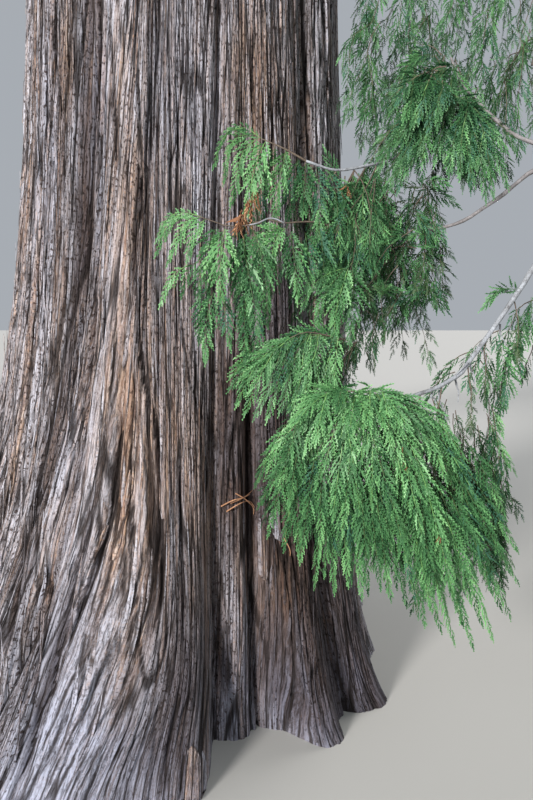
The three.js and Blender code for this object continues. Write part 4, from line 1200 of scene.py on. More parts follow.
class Shoots:
    """Leading shoots with fern-like fronds set alternately along them."""

    def __init__(self, seed):
        self.g = np.random.default_rng(seed)
        self.sprays = Sprays()
        self.back = Sprays()
        self.twigs = Tubes()
        self.fronds = 0

    def frond_on(self, path, n, reach, pal, fine=True, tip_pal=None, gap_mm=8.8, stalk_mm=2.2, open_deg=37, lop=0.0, broad=1.0):
        """A flat frond along a path of points: alternate side shoots that shorten towards its tip."""
        g = self.g
        self.fronds += 1
        p = spline(path, 24)
        s = np.concatenate([[0], np.cumsum(np.linalg.norm(np.diff(p, axis=0), axis=1))])
        L = s[-1]
        tan = unit(np.gradient(p, axis=0))
        m = max(5, int(L * 1000 / (gap_mm if fine else 20.0)))
        t = (np.arange(m) + 0.7 + g.uniform(-0.18, 0.18, m)) / (m + 0.4)
        P = np.stack([np.interp(t * L, s, p[:, i]) for i in range(3)], -1)
        D = unit(np.stack([np.interp(t * L, s, tan[:, i]) for i in range(3)], -1))
        n = unit(n)
        hand = np.where(np.arange(m) % 2, 1, -1)
        sd = unit(np.cross(D, n[None])) * hand[:, None]
        ang = np.radians(open_deg - 14 * t + g.normal(0, 4.0, m))[:, None]
        d = unit(D * np.cos(ang) + sd * np.sin(ang) + g.uniform(0.02, 0.15, m)[:, None] * DOWN)
        prof = np.minimum(1, (t + 0.16) / 0.34) ** 0.7 * (1 - 0.84 * np.maximum(0, (t - 0.20) / 0.80) ** 1.1)
        ll = reach * prof * g.uniform(0.74, 1.15, m) * (1 + lop * hand) + 0.010
        nn = n + g.normal(0, 0.15, (m, 3))
        if fine:
            kind = np.where(ll > 0.046, LONG, np.where(ll > 0.029, FEATHER, SHORT))
            wide = np.where(kind == LONG, 0.066 / ll, np.where(kind == FEATHER, 0.042 / ll, 0.026 / ll))
            wide = np.clip(wide, 0.86, 1.35) * g.uniform(0.9, 1.10, m) * broad
        else:
            kind = np.full(m, PLAIN)
            wide = np.clip(0.040 / ll, 0.8, 1.5)
        pals = np.full(m, pal)
        if tip_pal is not None:
            pals[t > 0.6] = tip_pal
        roll = g.random(m)
        pals = np.where(roll < 0.16, BRIGHTER[pals], np.where(roll > 0.80, DARKER[pals], pals))
        into = self.sprays if fine else self.back
        into.many(kind, P, d, nn, ll, g.uniform(0.0, 0.7, m), pals, wide, -hand * g.uniform(0.04, 0.24, m))
        # the axis, in short lengths
        q = np.linspace(0, 1, 5 if fine else 3)
        A = np.stack([np.interp(q * L, s, p[:, i]) for i in range(3)], -1)
        k = len(q) - 1
        seg = A[1:] - A[:-1]
        sl = np.linalg.norm(seg, axis=1)
        w = stalk_mm / 1000 * np.linspace(1, 0.5, k) / (0.06 * sl)
        into.many(np.full(k, STALKS), A[:-1] + 0.0008 * n, seg, np.repeat(n[None], k, 0), sl, np.zeros(k), np.full(k, pal), w, np.zeros(k))
        e = ll[-1] + 0.012
        into.add(SHORT if fine else PLAIN, p[-1] - tan[-1] * 0.006, tan[-1], n, e, 0.2, int(pals[-1]), min(1.4, 0.028 / e))

    def frond(self, o, d, n, L, pal, fine=True, droop=0.4, reach=0.46, tip_pal=None):
        d = unit(np.asarray(d, float))
        dn = DOWN - (DOWN @ d) * d
        t = np.array([0, 0.35, 0.7, 1.0])[:, None]
        path = o + L * (t * d + 0.5 * droop * t ** 2 * dn)
        self.frond_on(path, n, L * reach, pal, fine, tip_pal)

    def shoot(self, path, spacing, reach, fine, pals, spread=0.35, hang=0.8, start=0.04, r=0.0022,
              taper=0.55, splay=0.75, twig=True, slim=0.44, droop=0.45):
        """path: points from the base to the tip; reach: length of the longest fronds in metres."""
        g = self.g
        p = spline(path, 20)
        s = np.concatenate([[0], np.cumsum(np.linalg.norm(np.diff(p, axis=0), axis=1))])
        L = s[-1]
        tan = unit(np.gradient(p, axis=0))
        if twig:
            self.twigs.add(p[::3], r, r * 0.35, 3, 0, cap=False)
        n0 = facing(p[len(p) // 2], spread, g)
        k, q = 0, start * L
        while q < L * 0.93:
            t = q / L
            pos = np.array([np.interp(q, s, p[:, i]) for i in range(3)])
            d = unit(np.array([np.interp(q, s, tan[:, i]) for i in range(3)]))
            n = unit(n0 + g.normal(0, 0.55 * spread, 3))
            side = np.cross(d, n) * (1 if k % 2 else -1)
            ln = reach * min(1, 0.55 + t / 0.3) * (1 - taper * t ** 1.3) * g.uniform(0.78, 1.15)
            dirn = unit(d * 0.90 + side * splay * 0.85 * g.uniform(0.6, 1.1) + DOWN * hang * g.uniform(0.6, 1.1))
            pal = int(g.choice(pals))
            if fine is None:
                self.back.add(OPEN, pos, dirn, n, ln, droop * g.uniform(0.5, 1.5), pal, slim / 0.42)
            else:
                self.frond(pos, dirn, n, ln, pal, fine, droop, slim, tip_pal=(pal if g.random() < 0.7 else int(g.choice(pals))))
            q += spacing * g.uniform(0.8, 1.2) * (1.05 - 0.30 * t)
            k += 1
        e0 = max(0, L * 0.93 - reach * 0.15)
        pos = np.array([np.interp(e0, s, p[:, i]) for i in range(3)])
        if fine is None:
            self.back.add(OPEN, pos, unit(tan[-1] + 0.2 * DOWN), n0, reach * 0.7, 0.3, int(g.choice(pals)), slim / 0.42)
        else:
            self.frond(pos, unit(tan[-1] + 0.2 * DOWN), n0, reach * 0.62, int(g.choice(pals)), fine, 0.3, slim)


def arc(o, e, lift, g, wander=0.0):
    """A shoot that goes out first and then hangs: from o to e."""
    o, e = np.asarray(o), np.asarray(e)
    L = np.linalg.norm(e - o)
    m1 = o + (e - o) * 0.33 + np.array([0, 0, lift * L])
    m2 = o + (e - o) * 0.70 + np.array([0, 0, lift * 0.75 * L])
    if wander:
        m1 = m1 + g.normal(0, wander, 3) * L
        m2 = m2 + g.normal(0, wander, 3) * L
    return [o, m1, m2, e]


def low_foliage(limbs):
    sh = Shoots(5)
    g = sh.g
    tw = sh.twigs

    def px(rows):
        return [at(*r) for r in rows]

    FRESH, BRIGHT, USUAL, FULLER, BLUISH = [0, 0, 1], [0, 1, 1, 2], [1, 2, 2, 2, 4], [2, 3, 3, 4], [3, 5, 4]

    # --- the foremost plume, hanging from the end of the lowest limb
    hub = px([(386, 399, 2.28), (372, 394, 2.25), (356, 391, 2.23), (338, 394, 2.22), (322, 403, 2.22)])
    tw.add(spline(hub, 10), 0.0034, 0.0016, 5)
    hub2 = px([(386, 399, 2.28), (396, 408, 2.25), (406, 424, 2.23), (418, 448, 2.22)])
    tw.add(spline(hub2, 10), 0.0034, 0.0014, 5)
    # the tips that show, round the plume from its left side to its right
    tips = [(256, 483), (260, 504), (268, 533), (284, 547), (298, 553), (314, 583), (334, 590), (348, 582), (361, 594), (373, 566),
            (388, 588), (406, 602), (424, 622), (440, 627), (454, 640), (472, 644), (492, 636), (509, 614), (517, 580), (516, 548),
            (498, 530), (476, 512)]

    def flow(tip, u):
        """A line of the plume: out from the hub first, then down to a tip; u from 0 to 1."""
        x1, y1 = tip
        x0 = 356 + 0.26 * (x1 - 380)
        y0 = 390 + 0.0011 * (x0 - 358) ** 2
        side = (x1 - 385) / 130
        x = x0 + (x1 - x0) * u ** (0.80 if abs(side) > 0.3 else 1.0)
        y = y0 + (y1 - y0) * u ** 1.12
        bulge = 2.205 - 0.115 * math.sin(math.pi * min(1, 0.12 + 0.80 * u)) + 0.055 * side * side + 0.03 * u
        return x, y, bulge

    for shell, (u1, long_, dd) in enumerate(((1.0, 0.56, 0.022), (0.80, 0.48, 0.004), (0.61, 0.45, -0.012), (0.43, 0.40, -0.026), (0.30, 0.30, -0.036))):
        for i, tip in enumerate(tips):
            if shell and (i + shell) % 2:
                continue
            j = np.clip(g.normal(0, 1, 7), -1.8, 1.8)
            end = (tip[0] + 6 * j[0] * (shell > 0), tip[1] + 5 * j[1] * (shell > 0))
            top = max(0.0, u1 * (1 + 0.06 * j[2] * (shell > 0)))
            u0 = max(0.0, top - long_ * (1 + 0.10 * j[3]))
            pts = []
            for u in np.linspace(u0, top, 5):
                x, y, d_ = flow(end, u)
                pts.append((x + 9 * j[6] * (top - u) / (top - u0), y, d_ + dd + 0.014 * j[4]))
            path = px(pts)
            out = (end[0] - 385) / 130
            nrm = unit(facing(path[2], 0.20, g) + np.array([0.30 * out, 0, 0.12]))
            # painted shade on the hind shells and far tips (duller greens), painted light on the front shells (fresher
            # greens)
            far = i >= 18
            pals = (FRESH + BRIGHT if shell >= 3 else BRIGHT) if not far else USUAL
            ends = pals
            if shell < 2:
                pals, ends = USUAL, BRIGHT
            sh.frond_on(path, nrm, 0.062 + 0.005 * j[5], int(g.choice(pals)), True, tip_pal=int(g.choice(ends)))
    # shorter ones between them along the lower edge
    for tx, ty in ((288, 512), (302, 522), (316, 534), (308, 500), (340, 520), (420, 540), (436, 552), (300, 560), (324, 572), (350, 560), (352, 580), (368, 590), (380, 586), (390, 596), (358, 570), (364, 578), (380, 560), (396, 584), (414, 596), (430, 604), (446, 612), (462, 622), (481, 622),
                   (500, 606), (438, 588), (470, 600), (490, 590), (508, 570), (455, 574)):
        pts = [flow((tx, ty), u) for u in np.linspace(0.55, 1.0, 4)]
        path = px([(x, y, d_ + 0.004) for x, y, d_ in pts])
        sh.frond_on(path, facing(path[2], 0.25, g), 0.054, int(g.choice(USUAL)), True, tip_pal=int(g.choice(BRIGHT + USUAL)))
    # small fronds that spring up from the limb's end and fall over it
    for i in range(27):
        x = 316 + 72 * (i + g.uniform(-0.3, 0.3)) / 26
        y = 388 + 0.0016 * (x - 360) ** 2 + (0 if x < 372 else 12 + 0.3 * (x - 372)) + g.uniform(-2, 10)
        o = at(x, y, 2.205 + g.uniform(-0.02, 0.02))
        out = np.array([(x - 360) / 60 + g.uniform(-0.3, 0.3), -0.50 + g.uniform(-0.2, 0.2), 0.16 if abs(x - 360) < 22 else -0.45])
        sh.frond(o, out, unit(facing(o, 0.2, g) + [0, 0, 0.30]), g.uniform(0.10, 0.15), int(g.choice(FRESH + BRIGHT if x < 380 else BRIGHT)), True, 1.7, 0.46)
    # layers behind, in the darkest greens as painted shade
    for i in range(60):
        tip = tips[g.integers(1, len(tips) - 1)]
        u0 = g.uniform(0.0, 0.5)
        u1 = min(0.90, u0 + g.uniform(0.35, 0.5))
        pts = [flow((tip[0] + g.uniform(-12, 8), tip[1] - 10), u) for u in np.linspace(u0, u1, 4)]
        path = px([(x, y, d_ + 0.075 + 0.07 * g.random()) for x, y, d_ in pts])
        sh.shoot(path, 0.045, 0.120, False, [3, 6, 6, 6, 6], spread=0.5, hang=0.5, splay=0.6)
    # bare, reddish twigs that hang at the limb's end
    for (x, y, ex, ey) in ((384, 398, 392, 430), (392, 396, 404, 436), (400, 398, 398, 424)):
        o, e = at(x, y, 2.27), at(ex, ey, 2.25)
        tw.add(spline([o, (o + e) / 2 + g.normal(0, 0.004, 3), e], 6), 0.0022, 0.0010, 4)

    # --- the arching twig with its sprays before the trunk, high
    t1b = px([(336, 171, 2.52), (331, 182, 2.51), (326, 190, 2.50)])
    tw.add(spline(t1b, 5), 0.0025, 0.0012, 4)

    def sprig(points, reach, pals, lop=0.0, spread=0.22):
        path = px(points)
        n = facing(path[len(path) // 2], spread, g)
        pal = int(g.choice(pals))
        sh.frond_on(path, n, reach * 1.30, pal, True, tip_pal=int(g.choice(pals)), gap_mm=8.2, open_deg=40, lop=lop, broad=1.18)

    A = [([(262, 139, 2.44), (240, 125, 2.42), (222, 138, 2.42), (214, 165, 2.43)], 0.021, FRESH, -0.72),
         ([(250, 134, 2.44), (234, 138, 2.41), (226, 156, 2.41), (224, 178, 2.42)], 0.024, FRESH, -0.62),
         ([(258, 138, 2.44), (243, 150, 2.42), (236, 176, 2.42), (231, 203, 2.43)], 0.038, BRIGHT, -0.40),
         ([(266, 140, 2.44), (257, 160, 2.40), (250, 190, 2.41), (246, 214, 2.42)], 0.056, BRIGHT, -0.15),
         ([(286, 149, 2.46), (282, 168, 2.43), (277, 190, 2.43), (276, 214, 2.44)], 0.056, BRIGHT),
         ([(276, 146, 2.45), (264, 166, 2.47), (262, 200, 2.47), (264, 224, 2.48)], 0.052, USUAL),
         ([(306, 161, 2.48), (305, 176, 2.46), (304, 195, 2.46), (303, 212, 2.47)], 0.054, USUAL),
         ([(298, 157, 2.48), (294, 178, 2.50), (290, 196, 2.51), (288, 218, 2.51)], 0.052, FULLER),
         ([(316, 165, 2.49), (318, 185, 2.48), (320, 208, 2.48), (319, 232, 2.48)], 0.056, USUAL),
         ([(328, 169, 2.51), (334, 186, 2.50), (338, 210, 2.50), (336, 236, 2.50)], 0.056, USUAL)]
    for row in A:
        sprig(*row)
    # --- second twig, to the left, with its light fan
    t2 = px([(345, 232, 2.52), (315, 222, 2.50), (283, 223, 2.44), (268, 219, 2.42), (249, 225, 2.40), (228, 226, 2.39), (207, 219, 2.38), (190, 214, 2.38)])
    tw.add(spline(t2, 16), 0.0034, 0.0013, 5)
    t3 = px([(228, 238, 2.40), (208, 258, 2.40), (186, 266, 2.39), (172, 276, 2.39)])
    tw.add(spline(t3, 8), 0.0016, 0.0007, 4)
    B = [([(202, 217, 2.38), (182, 212, 2.37), (166, 226, 2.37), (156, 253, 2.38)], 0.022, FRESH, -0.72),
         ([(200, 217, 2.38), (186, 221, 2.36), (176, 238, 2.36), (168, 262, 2.37)], 0.025, FRESH, -0.50),
         ([(206, 219, 2.38), (197, 226, 2.37), (190, 240, 2.37), (187, 258, 2.37)], 0.030, BRIGHT, -0.30),
         ([(190, 214, 2.38), (175, 213, 2.38), (165, 220, 2.38), (158, 236, 2.38)], 0.024, FRESH, -0.72),
         ([(186, 266, 2.39), (176, 272, 2.38), (167, 284, 2.38), (161, 301, 2.38)], 0.022, BRIGHT, -0.5),
         ([(196, 262, 2.39), (189, 270, 2.38), (184, 280, 2.38), (182, 293, 2.38)], 0.022, BRIGHT, -0.3),
         ([(206, 259, 2.40), (200, 272, 2.39), (198, 286, 2.39), (199, 302, 2.39)], 0.026, BRIGHT)]
    for row in B:
        sprig(*row)
    Cs = [([(225, 227, 2.39), (222, 245, 2.35), (220, 270, 2.34), (221, 298, 2.35)], 0.068, BRIGHT),
          ([(232, 228, 2.42), (236, 245, 2.42), (237, 268, 2.42), (236, 291, 2.42)], 0.050, FULLER),
          ([(218, 226, 2.39), (210, 240, 2.37), (207, 262, 2.36), (208, 288, 2.40)], 0.040, USUAL),
          ([(243, 232, 2.41), (246, 260, 2.38), (252, 292, 2.37), (257, 330, 2.36)], 0.068, BRIGHT),
          ([(254, 230, 2.41), (262, 256, 2.38), (266, 288, 2.38), (268, 320, 2.41)], 0.054, USUAL),
          ([(240, 240, 2.42), (238, 270, 2.42), (240, 300, 2.42), (244, 326, 2.42)], 0.052, FULLER),
          ([(248, 262, 2.40), (246, 296, 2.40), (244, 330, 2.40), (245, 358, 2.40)], 0.052, USUAL),
          ([(256, 300, 2.42), (258, 322, 2.42), (256, 340, 2.42), (252, 353, 2.42)], 0.044, FULLER),
          ([(214, 290, 2.39), (208, 310, 2.38), (206, 332, 2.38), (205, 358, 2.38)], 0.046, USUAL),
          ([(222, 292, 2.40), (224, 310, 2.39), (227, 326, 2.39), (230, 345, 2.39)], 0.040, USUAL),
          ([(210, 283, 2.40), (203, 300, 2.40), (200, 318, 2.40), (199, 338, 2.40)], 0.034, FULLER),
          ([(286, 228, 2.44), (270, 231, 2.41), (262, 244, 2.41), (257, 264, 2.41)], 0.040, FRESH),
          ([(286, 228, 2.44), (276, 238, 2.40), (272, 254, 2.40), (271, 274, 2.40)], 0.046, BRIGHT),
          ([(290, 230, 2.44), (293, 250, 2.41), (296, 272, 2.40), (297, 296, 2.41)], 0.058, BRIGHT),
          ([(305, 232, 2.46), (308, 250, 2.43), (309, 268, 2.43), (308, 290, 2.43)], 0.052, USUAL),
          ([(318, 226, 2.48), (322, 246, 2.46), (324, 266, 2.46), (322, 288, 2.46)], 0.056, USUAL),
          ([(345, 268, 2.50), (325, 275, 2.46), (310, 288, 2.45), (303, 305, 2.45)], 0.046, BRIGHT),
          ([(345, 268, 2.50), (332, 283, 2.46), (322, 300, 2.45), (317, 320, 2.45)], 0.050, BRIGHT),
          ([(348, 268, 2.50), (342, 288, 2.46), (336, 310, 2.45), (334, 336, 2.45)], 0.056, BRIGHT),
          ([(352, 266, 2.52), (354, 290, 2.49), (352, 314, 2.48), (350, 340, 2.48)], 0.056, USUAL)]
    for row in Cs:
        sprig(*row)
    # --- drooping fan over the trunk's right edge, and what hangs behind the sprays
    tops = [(336, 174, 2.54), (345, 176, 2.54), (354, 170, 2.55), (365, 168, 2.56), (376, 166, 2.58)]
    for i in range(18):
        o = tops[g.integers(0, 5)]
        e = (g.uniform(318, 376), g.uniform(235, 300), 2.52 + g.uniform(-0.05, 0.05))
        sh.shoot(arc(at(*o), at(*e), 0.06, g, 0.03), 0.042, 0.125, True, USUAL + FULLER, spread=0.4, hang=0.6)
    # shoots behind the sprays, in the darkest greens: painted shade
    for i in range(16):
        o = at(g.uniform(225, 345), g.uniform(165, 250), 2.56)
        e = o + np.array([g.uniform(-0.05, 0.05), 0, -g.uniform(0.15, 0.28)])
        sh.shoot(arc(o, e, 0.04, g, 0.03), 0.045, 0.11, False, [3, 5, 6], spread=0.6, hang=0.6)
    # --- fan that spreads to the lower left below it
    hub3 = px([(352, 342, 2.50), (330, 336, 2.46), (306, 332, 2.43), (290, 338, 2.41)])
    tw.add(spline(hub3, 8), 0.0024, 0.0012, 5)
    H3 = spline(hub3, 10)
    for i, e in enumerate([(238, 402, 2.40), (246, 411, 2.38), (256, 414, 2.37), (268, 416, 2.37), (280, 410, 2.37), (292, 411, 2.38),
                           (304, 400, 2.38), (316, 400, 2.40), (330, 390, 2.42), (246, 380, 2.41), (258, 362, 2.41), (272, 352, 2.41)]):
        o = H3[min(9, 9 - i * 9 // 12)]
        path = arc(o, at(*e), 0.14, g, 0.02)
        sh.frond_on(path, facing(path[1], 0.18, g), 0.063, int(g.choice(BRIGHT + USUAL)), True, tip_pal=1)
    for i in range(16):
        x = g.uniform(262, 345)
        o = at(x, g.uniform(330, 372) + 0.0 * x, 2.43)
        out = np.array([(x - 345) / 90 + g.uniform(-0.2, 0.2), -0.15, -0.7])
        sh.frond(o, out, facing(o, 0.3, g), g.uniform(0.09, 0.13), int(g.choice(BRIGHT + USUAL)), True, 0.5, 0.44)
    # shoots behind the fan, in the darkest greens: painted shade
    for i in range(12):
        o = H3[g.integers(0, 6)] + np.array([0.02, 0.06, 0])
        e = (g.uniform(285, 345), g.uniform(372, 400), 2.5)
        sh.shoot(arc(o, at(*e), 0.05, g, 0.03), 0.04, 0.10, False, [3, 5, 6], spread=0.5, hang=0.7)
    # --- the darker, twiggy mass behind, between the limbs
    for i in range(120):
        x = g.uniform(336, 440)
        y = g.uniform(170, 318)
        if x + 0.55 * y > 575:
            continue
        dd = 2.60 + 0.36 * g.random()
        o = at(x, y, dd)
        e = at(x + g.uniform(-24, 20), y + g.uniform(22, 62), dd + g.uniform(-0.05, 0.05))
        sh.shoot(arc(o, e, 0.04, g, 0.05), 0.044, 0.100, dd < 2.72, [7, 2, 2, 3, 7, 4, 3] if dd < 2.72 else [7, 3, 2, 3, 5], spread=0.7, hang=0.25, splay=0.95, r=0.0016)
    for i in range(100):
        x = g.uniform(336, 436)
        o = at(x, g.uniform(176, 304), 2.58 + 0.2 * g.random())
        sh.frond(o, (g.uniform(-0.9, 0.7), g.uniform(-0.6, 0.1), g.uniform(-1.0, 0.25)), facing(o, 0.7, g), g.uniform(0.07, 0.12), int(g.choice([7, 2, 2, 4, 1, 3])), True, 0.4, 0.42)
    for i in range(40):
        o = at(g.uniform(345, 425), g.uniform(170, 270), 2.56 + 0.3 * g.random())
        e = o + np.array([g.uniform(-0.14, 0.06), g.uniform(-0.08, 0.08), -g.uniform(0.02, 0.20)])
        tw.add(spline([o, (o + e) / 2 + g.normal(0, 0.014, 3), e], 6), 0.0019, 0.0007, 3)
    # --- the fans above, from limb a and the boughs over the frame
    fans = [((444, 96, 2.58), [(372, 178), (380, 186), (389, 190), (399, 186), (410, 172), (384, 152), (396, 140)]),
            ((462, 100, 2.58), [(440, 160), (450, 172), (461, 178), (466, 188), (474, 186), (484, 192), (494, 190), (503, 180), (506, 152)]),
            ((436, 74, 2.55), [(394, 104), (400, 116), (412, 118), (424, 122), (433, 122), (441, 116)]),
            ((448, 60, 2.64), [(428, 108), (450, 112), (470, 130), (410, 96), (416, 60)])]
    # the fans hang in shade: their fuller and bluish greens are painted shade
    for (ox, oy, od), tips_ in fans:
        for (ex, ey) in tips_:
            for k in range(2):
                o = at(ox + g.uniform(-14, 12), oy + g.uniform(-8, 10), od + 0.05 * k)
                e = at(ex + g.uniform(-5, 5), ey + g.uniform(-5, 5) - 14 * k, od - 0.05 + 0.12 * k)
                if k:
                    sh.shoot(arc(o, e, 0.12, g, 0.03), 0.040, 0.115, False, FULLER + [5], spread=0.32, hang=0.6)
                else:
                    path = arc(o, e, 0.14, g, 0.02)
                    sh.frond_on(path, facing(path[1], 0.2, g), 0.063, int(g.choice(FULLER + BLUISH)), True, tip_pal=int(g.choice(USUAL)))
                    mid_ = spline(path, 9)
                    for q in (3,):
                        side = g.uniform(-0.5, 0.5)
                        sh.frond(mid_[q], unit(mid_[q + 1] - mid_[q]) + [side, 0, -0.4], facing(mid_[q], 0.25, g), g.uniform(0.10, 0.15), int(g.choice(FULLER + [1])), True, 0.5, 0.48)
    for i in range(70):
        x = g.uniform(372, 532)
        dd = 2.68 + 0.5 * g.random()
        y = g.uniform(-70, 84) + 0.10 * (x - 348)
        o = at(x, y, dd)
        e = at(x + g.uniform(-40, 10), y + g.uniform(50, 105), dd + g.uniform(-0.06, 0.06))
        sh.shoot(arc(o, e, 0.06, g, 0.06), 0.046, 0.120, dd < 2.86, USUAL + FULLER if dd < 2.86 else FULLER + [2, 5], spread=0.7, hang=0.5, splay=0.9,
                 r=0.0015, twig=dd < 2.9)
    # --- small sprays on the lowest limb and at the right edge
    C_ = spline(limbs["c"], 40)
    for k, dx in ((36, -8), (34, -6), (31, 4), (28, -3), (24, 5), (20, 3)):
        o = C_[k]
        e = o + np.array([0.012 * dx / 5, -0.01, -0.07 - 0.014 * (k % 3)])
        tw.add(spline([o, (o + e) / 2 + g.normal(0, 0.004, 3), e], 5), 0.0024, 0.0009, 4)
        sh.shoot([o + (e - o) * 0.6, e, e + np.array([0.0, 0, -0.09])], 0.03, 0.065, False, [3, 5, 7], spread=0.8)
    for (x, y, ex, ey) in ((533, 300, 500, 345), (530, 312, 512, 352), (520, 338, 505, 372), (533, 345, 524, 372), (500, 330, 470, 352),
                           (470, 352, 440, 372), (486, 345, 470, 380), (455, 372, 430, 392), (480, 360, 498, 400), (508, 355, 500, 405)):
        sh.shoot(arc(at(x, y, 2.62), at(ex, ey, 2.6), 0.10, g, 0.03), 0.030, 0.075, True, [2, 3, 4, 4], spread=0.5)
    for row in (([(500, 342, 2.55), (503, 358, 2.53), (507, 378, 2.53), (504, 407, 2.54)], 0.056, USUAL),
                ([(504, 342, 2.55), (512, 350, 2.53), (518, 360, 2.53), (521, 371, 2.54)], 0.040, USUAL),
                ([(524, 310, 2.55), (524, 322, 2.53), (523, 334, 2.53), (521, 348, 2.54)], 0.040, USUAL),
                ([(520, 291, 2.55), (508, 288, 2.53), (496, 292, 2.52), (484, 306, 2.53)], 0.036, USUAL, -0.3),
                ([(531, 296, 2.55), (532, 310, 2.53), (531, 326, 2.53), (529, 342, 2.54)], 0.036, USUAL),
                ([(490, 356, 2.60), (486, 372, 2.58), (484, 388, 2.58), (486, 404, 2.58)], 0.044, FULLER)):
        sprig(*row)
    # --- hanging behind the plume on the right, down to the skirt
    for i in range(62):
        x = g.uniform(402, 500)
        y = g.uniform(398, 530)
        if y > 570 - 0.9 * (x - 410):
            continue
        dd = 2.48 + 0.30 * g.random()
        o, e = at(x, y, dd), at(x + g.uniform(-10, 22), y + g.uniform(50, 90), dd)
        sh.shoot(arc(o, e, 0.05, g, 0.04), 0.046, 0.110, dd < 2.6, [7, 2, 2, 4, 3, 1], spread=0.6, hang=0.45, r=0.0018)

    # --- beyond the right edge: the ends of the low boughs
    def dress(path, n, reach, hang_m, pals, seed, across):
        gg = np.random.default_rng(seed)
        P = spline(path, 40)
        for i in range(n):
            o = P[gg.integers(4, 40)]
            side = gg.normal(0, across, 2)
            e = o + np.array([side[0], side[1], -hang_m * gg.uniform(0.4, 1.0)])
            v = 0.5 * (o + e) - CAM
            inside = v @ FWD > 0 and abs(FOCAL_PX * v[0] / (v @ FWD)) < 285
            if v @ FWD > 0 and 205 < FOCAL_PX * v[0] / (v @ FWD) < 345 and -0.34 < (v @ UPV) / (v @ FWD) < 0.33:
                continue
            sh.shoot(arc(o, e, 0.16, gg, 0.04), 0.060, reach * (0.7 if inside else 1), False if inside else None, pals,
                     spread=0.8 if inside else 1.6, hang=0.7, slim=0.44)
    dress(limbs["outer"], 50, 0.21, 0.75, [1, 2, 2, 3, 4], 41, 0.30)
    dress(limbs["rear2"], 60, 0.23, 0.85, [2, 3, 3, 4, 5, 1], 42, 0.34)
    dress(limbs["up"][2:], 26, 0.17, 0.45, [2, 3, 4, 5], 43, 0.16)
    dress(limbs["up2"], 22, 0.16, 0.40, [2, 3, 4, 5], 44, 0.16)
    dress(limbs["main"][4:], 22, 0.16, 0.45, [2, 3, 4, 5], 45, 0.16)

    low = [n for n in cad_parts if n.startswith("foliage_low")]
    rows = np.vstack(sh.sprays.rows)
    cut = np.median(rows[:, 3] - 0.4 * rows[:, 1])
    ob = sh.sprays.build("foliage_low_a", "foliage", lambda r: r[:, 3] - 0.4 * r[:, 1] >= cut)
    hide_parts(*low)
    ob = sh.sprays.build("foliage_low_b", "foliage", lambda r: r[:, 3] - 0.4 * r[:, 1] < cut)
    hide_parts(*low)
    sh.back.build("foliage_low_inner", "foliage_shade", lambda r: r[:, 1] < 1.35)
    sh.back.build("foliage_low_outer_sprays", "foliage", lambda r: r[:, 1] >= 1.35)
    # a few withered bits caught in the sprays
    dead = Sprays()
    for (x, y, d_, L, k) in ((256, 190, 2.40, 0.060, 6), (250, 202, 2.39, 0.066, 7), (244, 212, 2.39, 0.066, 7), (240, 222, 2.39, 0.055, 5), (345, 188, 2.48, 0.04, 4),
                             (383, 222, 2.60, 0.05, 3), (484, 455, 2.30, 0.03, 0), (402, 448, 2.09, 0.026, 2), (404, 462, 2.08, 0.028, 2),
                             (441, 538, 2.08, 0.024, 2)):
        for _ in range(k):
            o = at(x + g.uniform(-4, 4), y + g.uniform(-5, 5), d_ + g.uniform(-0.01, 0.01))
            dead.add(SHORT if L < 0.035 else FEATHER, o, (g.uniform(-0.55, 0.35), g.uniform(-0.3, 0.3), -1), facing(o, 0.9, g), L * g.uniform(0.6, 1.1),
                     g.uniform(0.2, 1.4), 8, 0.8)
    dead.build("withered_bits", "foliage")
    tw.build("twigs_low", TWIG, "limb_bark")
    print("hero fronds", sh.fronds)
    return sh


# ------------------------------------------------------------------ the crown
SHELVES = [
    dict(z0=4.7, z1=8.9, n=7, reach=4.65, turn=20, din=0.16, dout=0.52, weep=0.9),
    dict(z0=7.3, z1=12.7, n=6, reach=4.4, turn=5, din=0.16, dout=0.72, weep=1.0),
    dict(z0=10.9, z1=16.3, n=5, reach=3.8, turn=40, din=0.22, dout=0.86, weep=1.0),
    dict(z0=14.5, z1=19.9, n=4, reach=3.0, turn=12, din=0.30, dout=1.05, weep=0.95),
    dict(z0=18.2, z1=23.2, n=3, reach=2.25, turn=50, din=0.40, dout=1.35, weep=0.8),
    dict(z0=21.7, z1=26.0, n=3, reach=1.45, turn=110, din=0.60, dout=1.8, weep=0.5),
    dict(z0=24.8, z1=28.8, n=2, reach=0.76, turn=30, din=1.2, dout=3.6, weep=0.2)]


def frac_hash(n):
    s = math.sin(n * 12.9898 + 4.1414) * 43758.5453
    return s - math.floor(s)


def open_side(rows):
    """Nothing of the crown hangs over the open side of the trunk below the skirt."""
    p = rows[:, 1:4] + rows[:, 4:7] / np.linalg.norm(rows[:, 4:7], axis=1)[:, None] * rows[:, 10:11]
    v = p - CAM
    z = v @ FWD
    x = 266.5 + FOCAL_PX * v[:, 0] / np.maximum(z, 0.1)
    y = 400 - FOCAL_PX * (v @ UPV) / np.maximum(z, 0.1)
    inside = (p[:, 1] > -4.56) & (p[:, 1] < 4.10) & (p[:, 0] > -4.34) & (p[:, 0] < 4.48)
    return inside & ~((z > 0) & (x > -60) & (x < 600) & (y > -40))


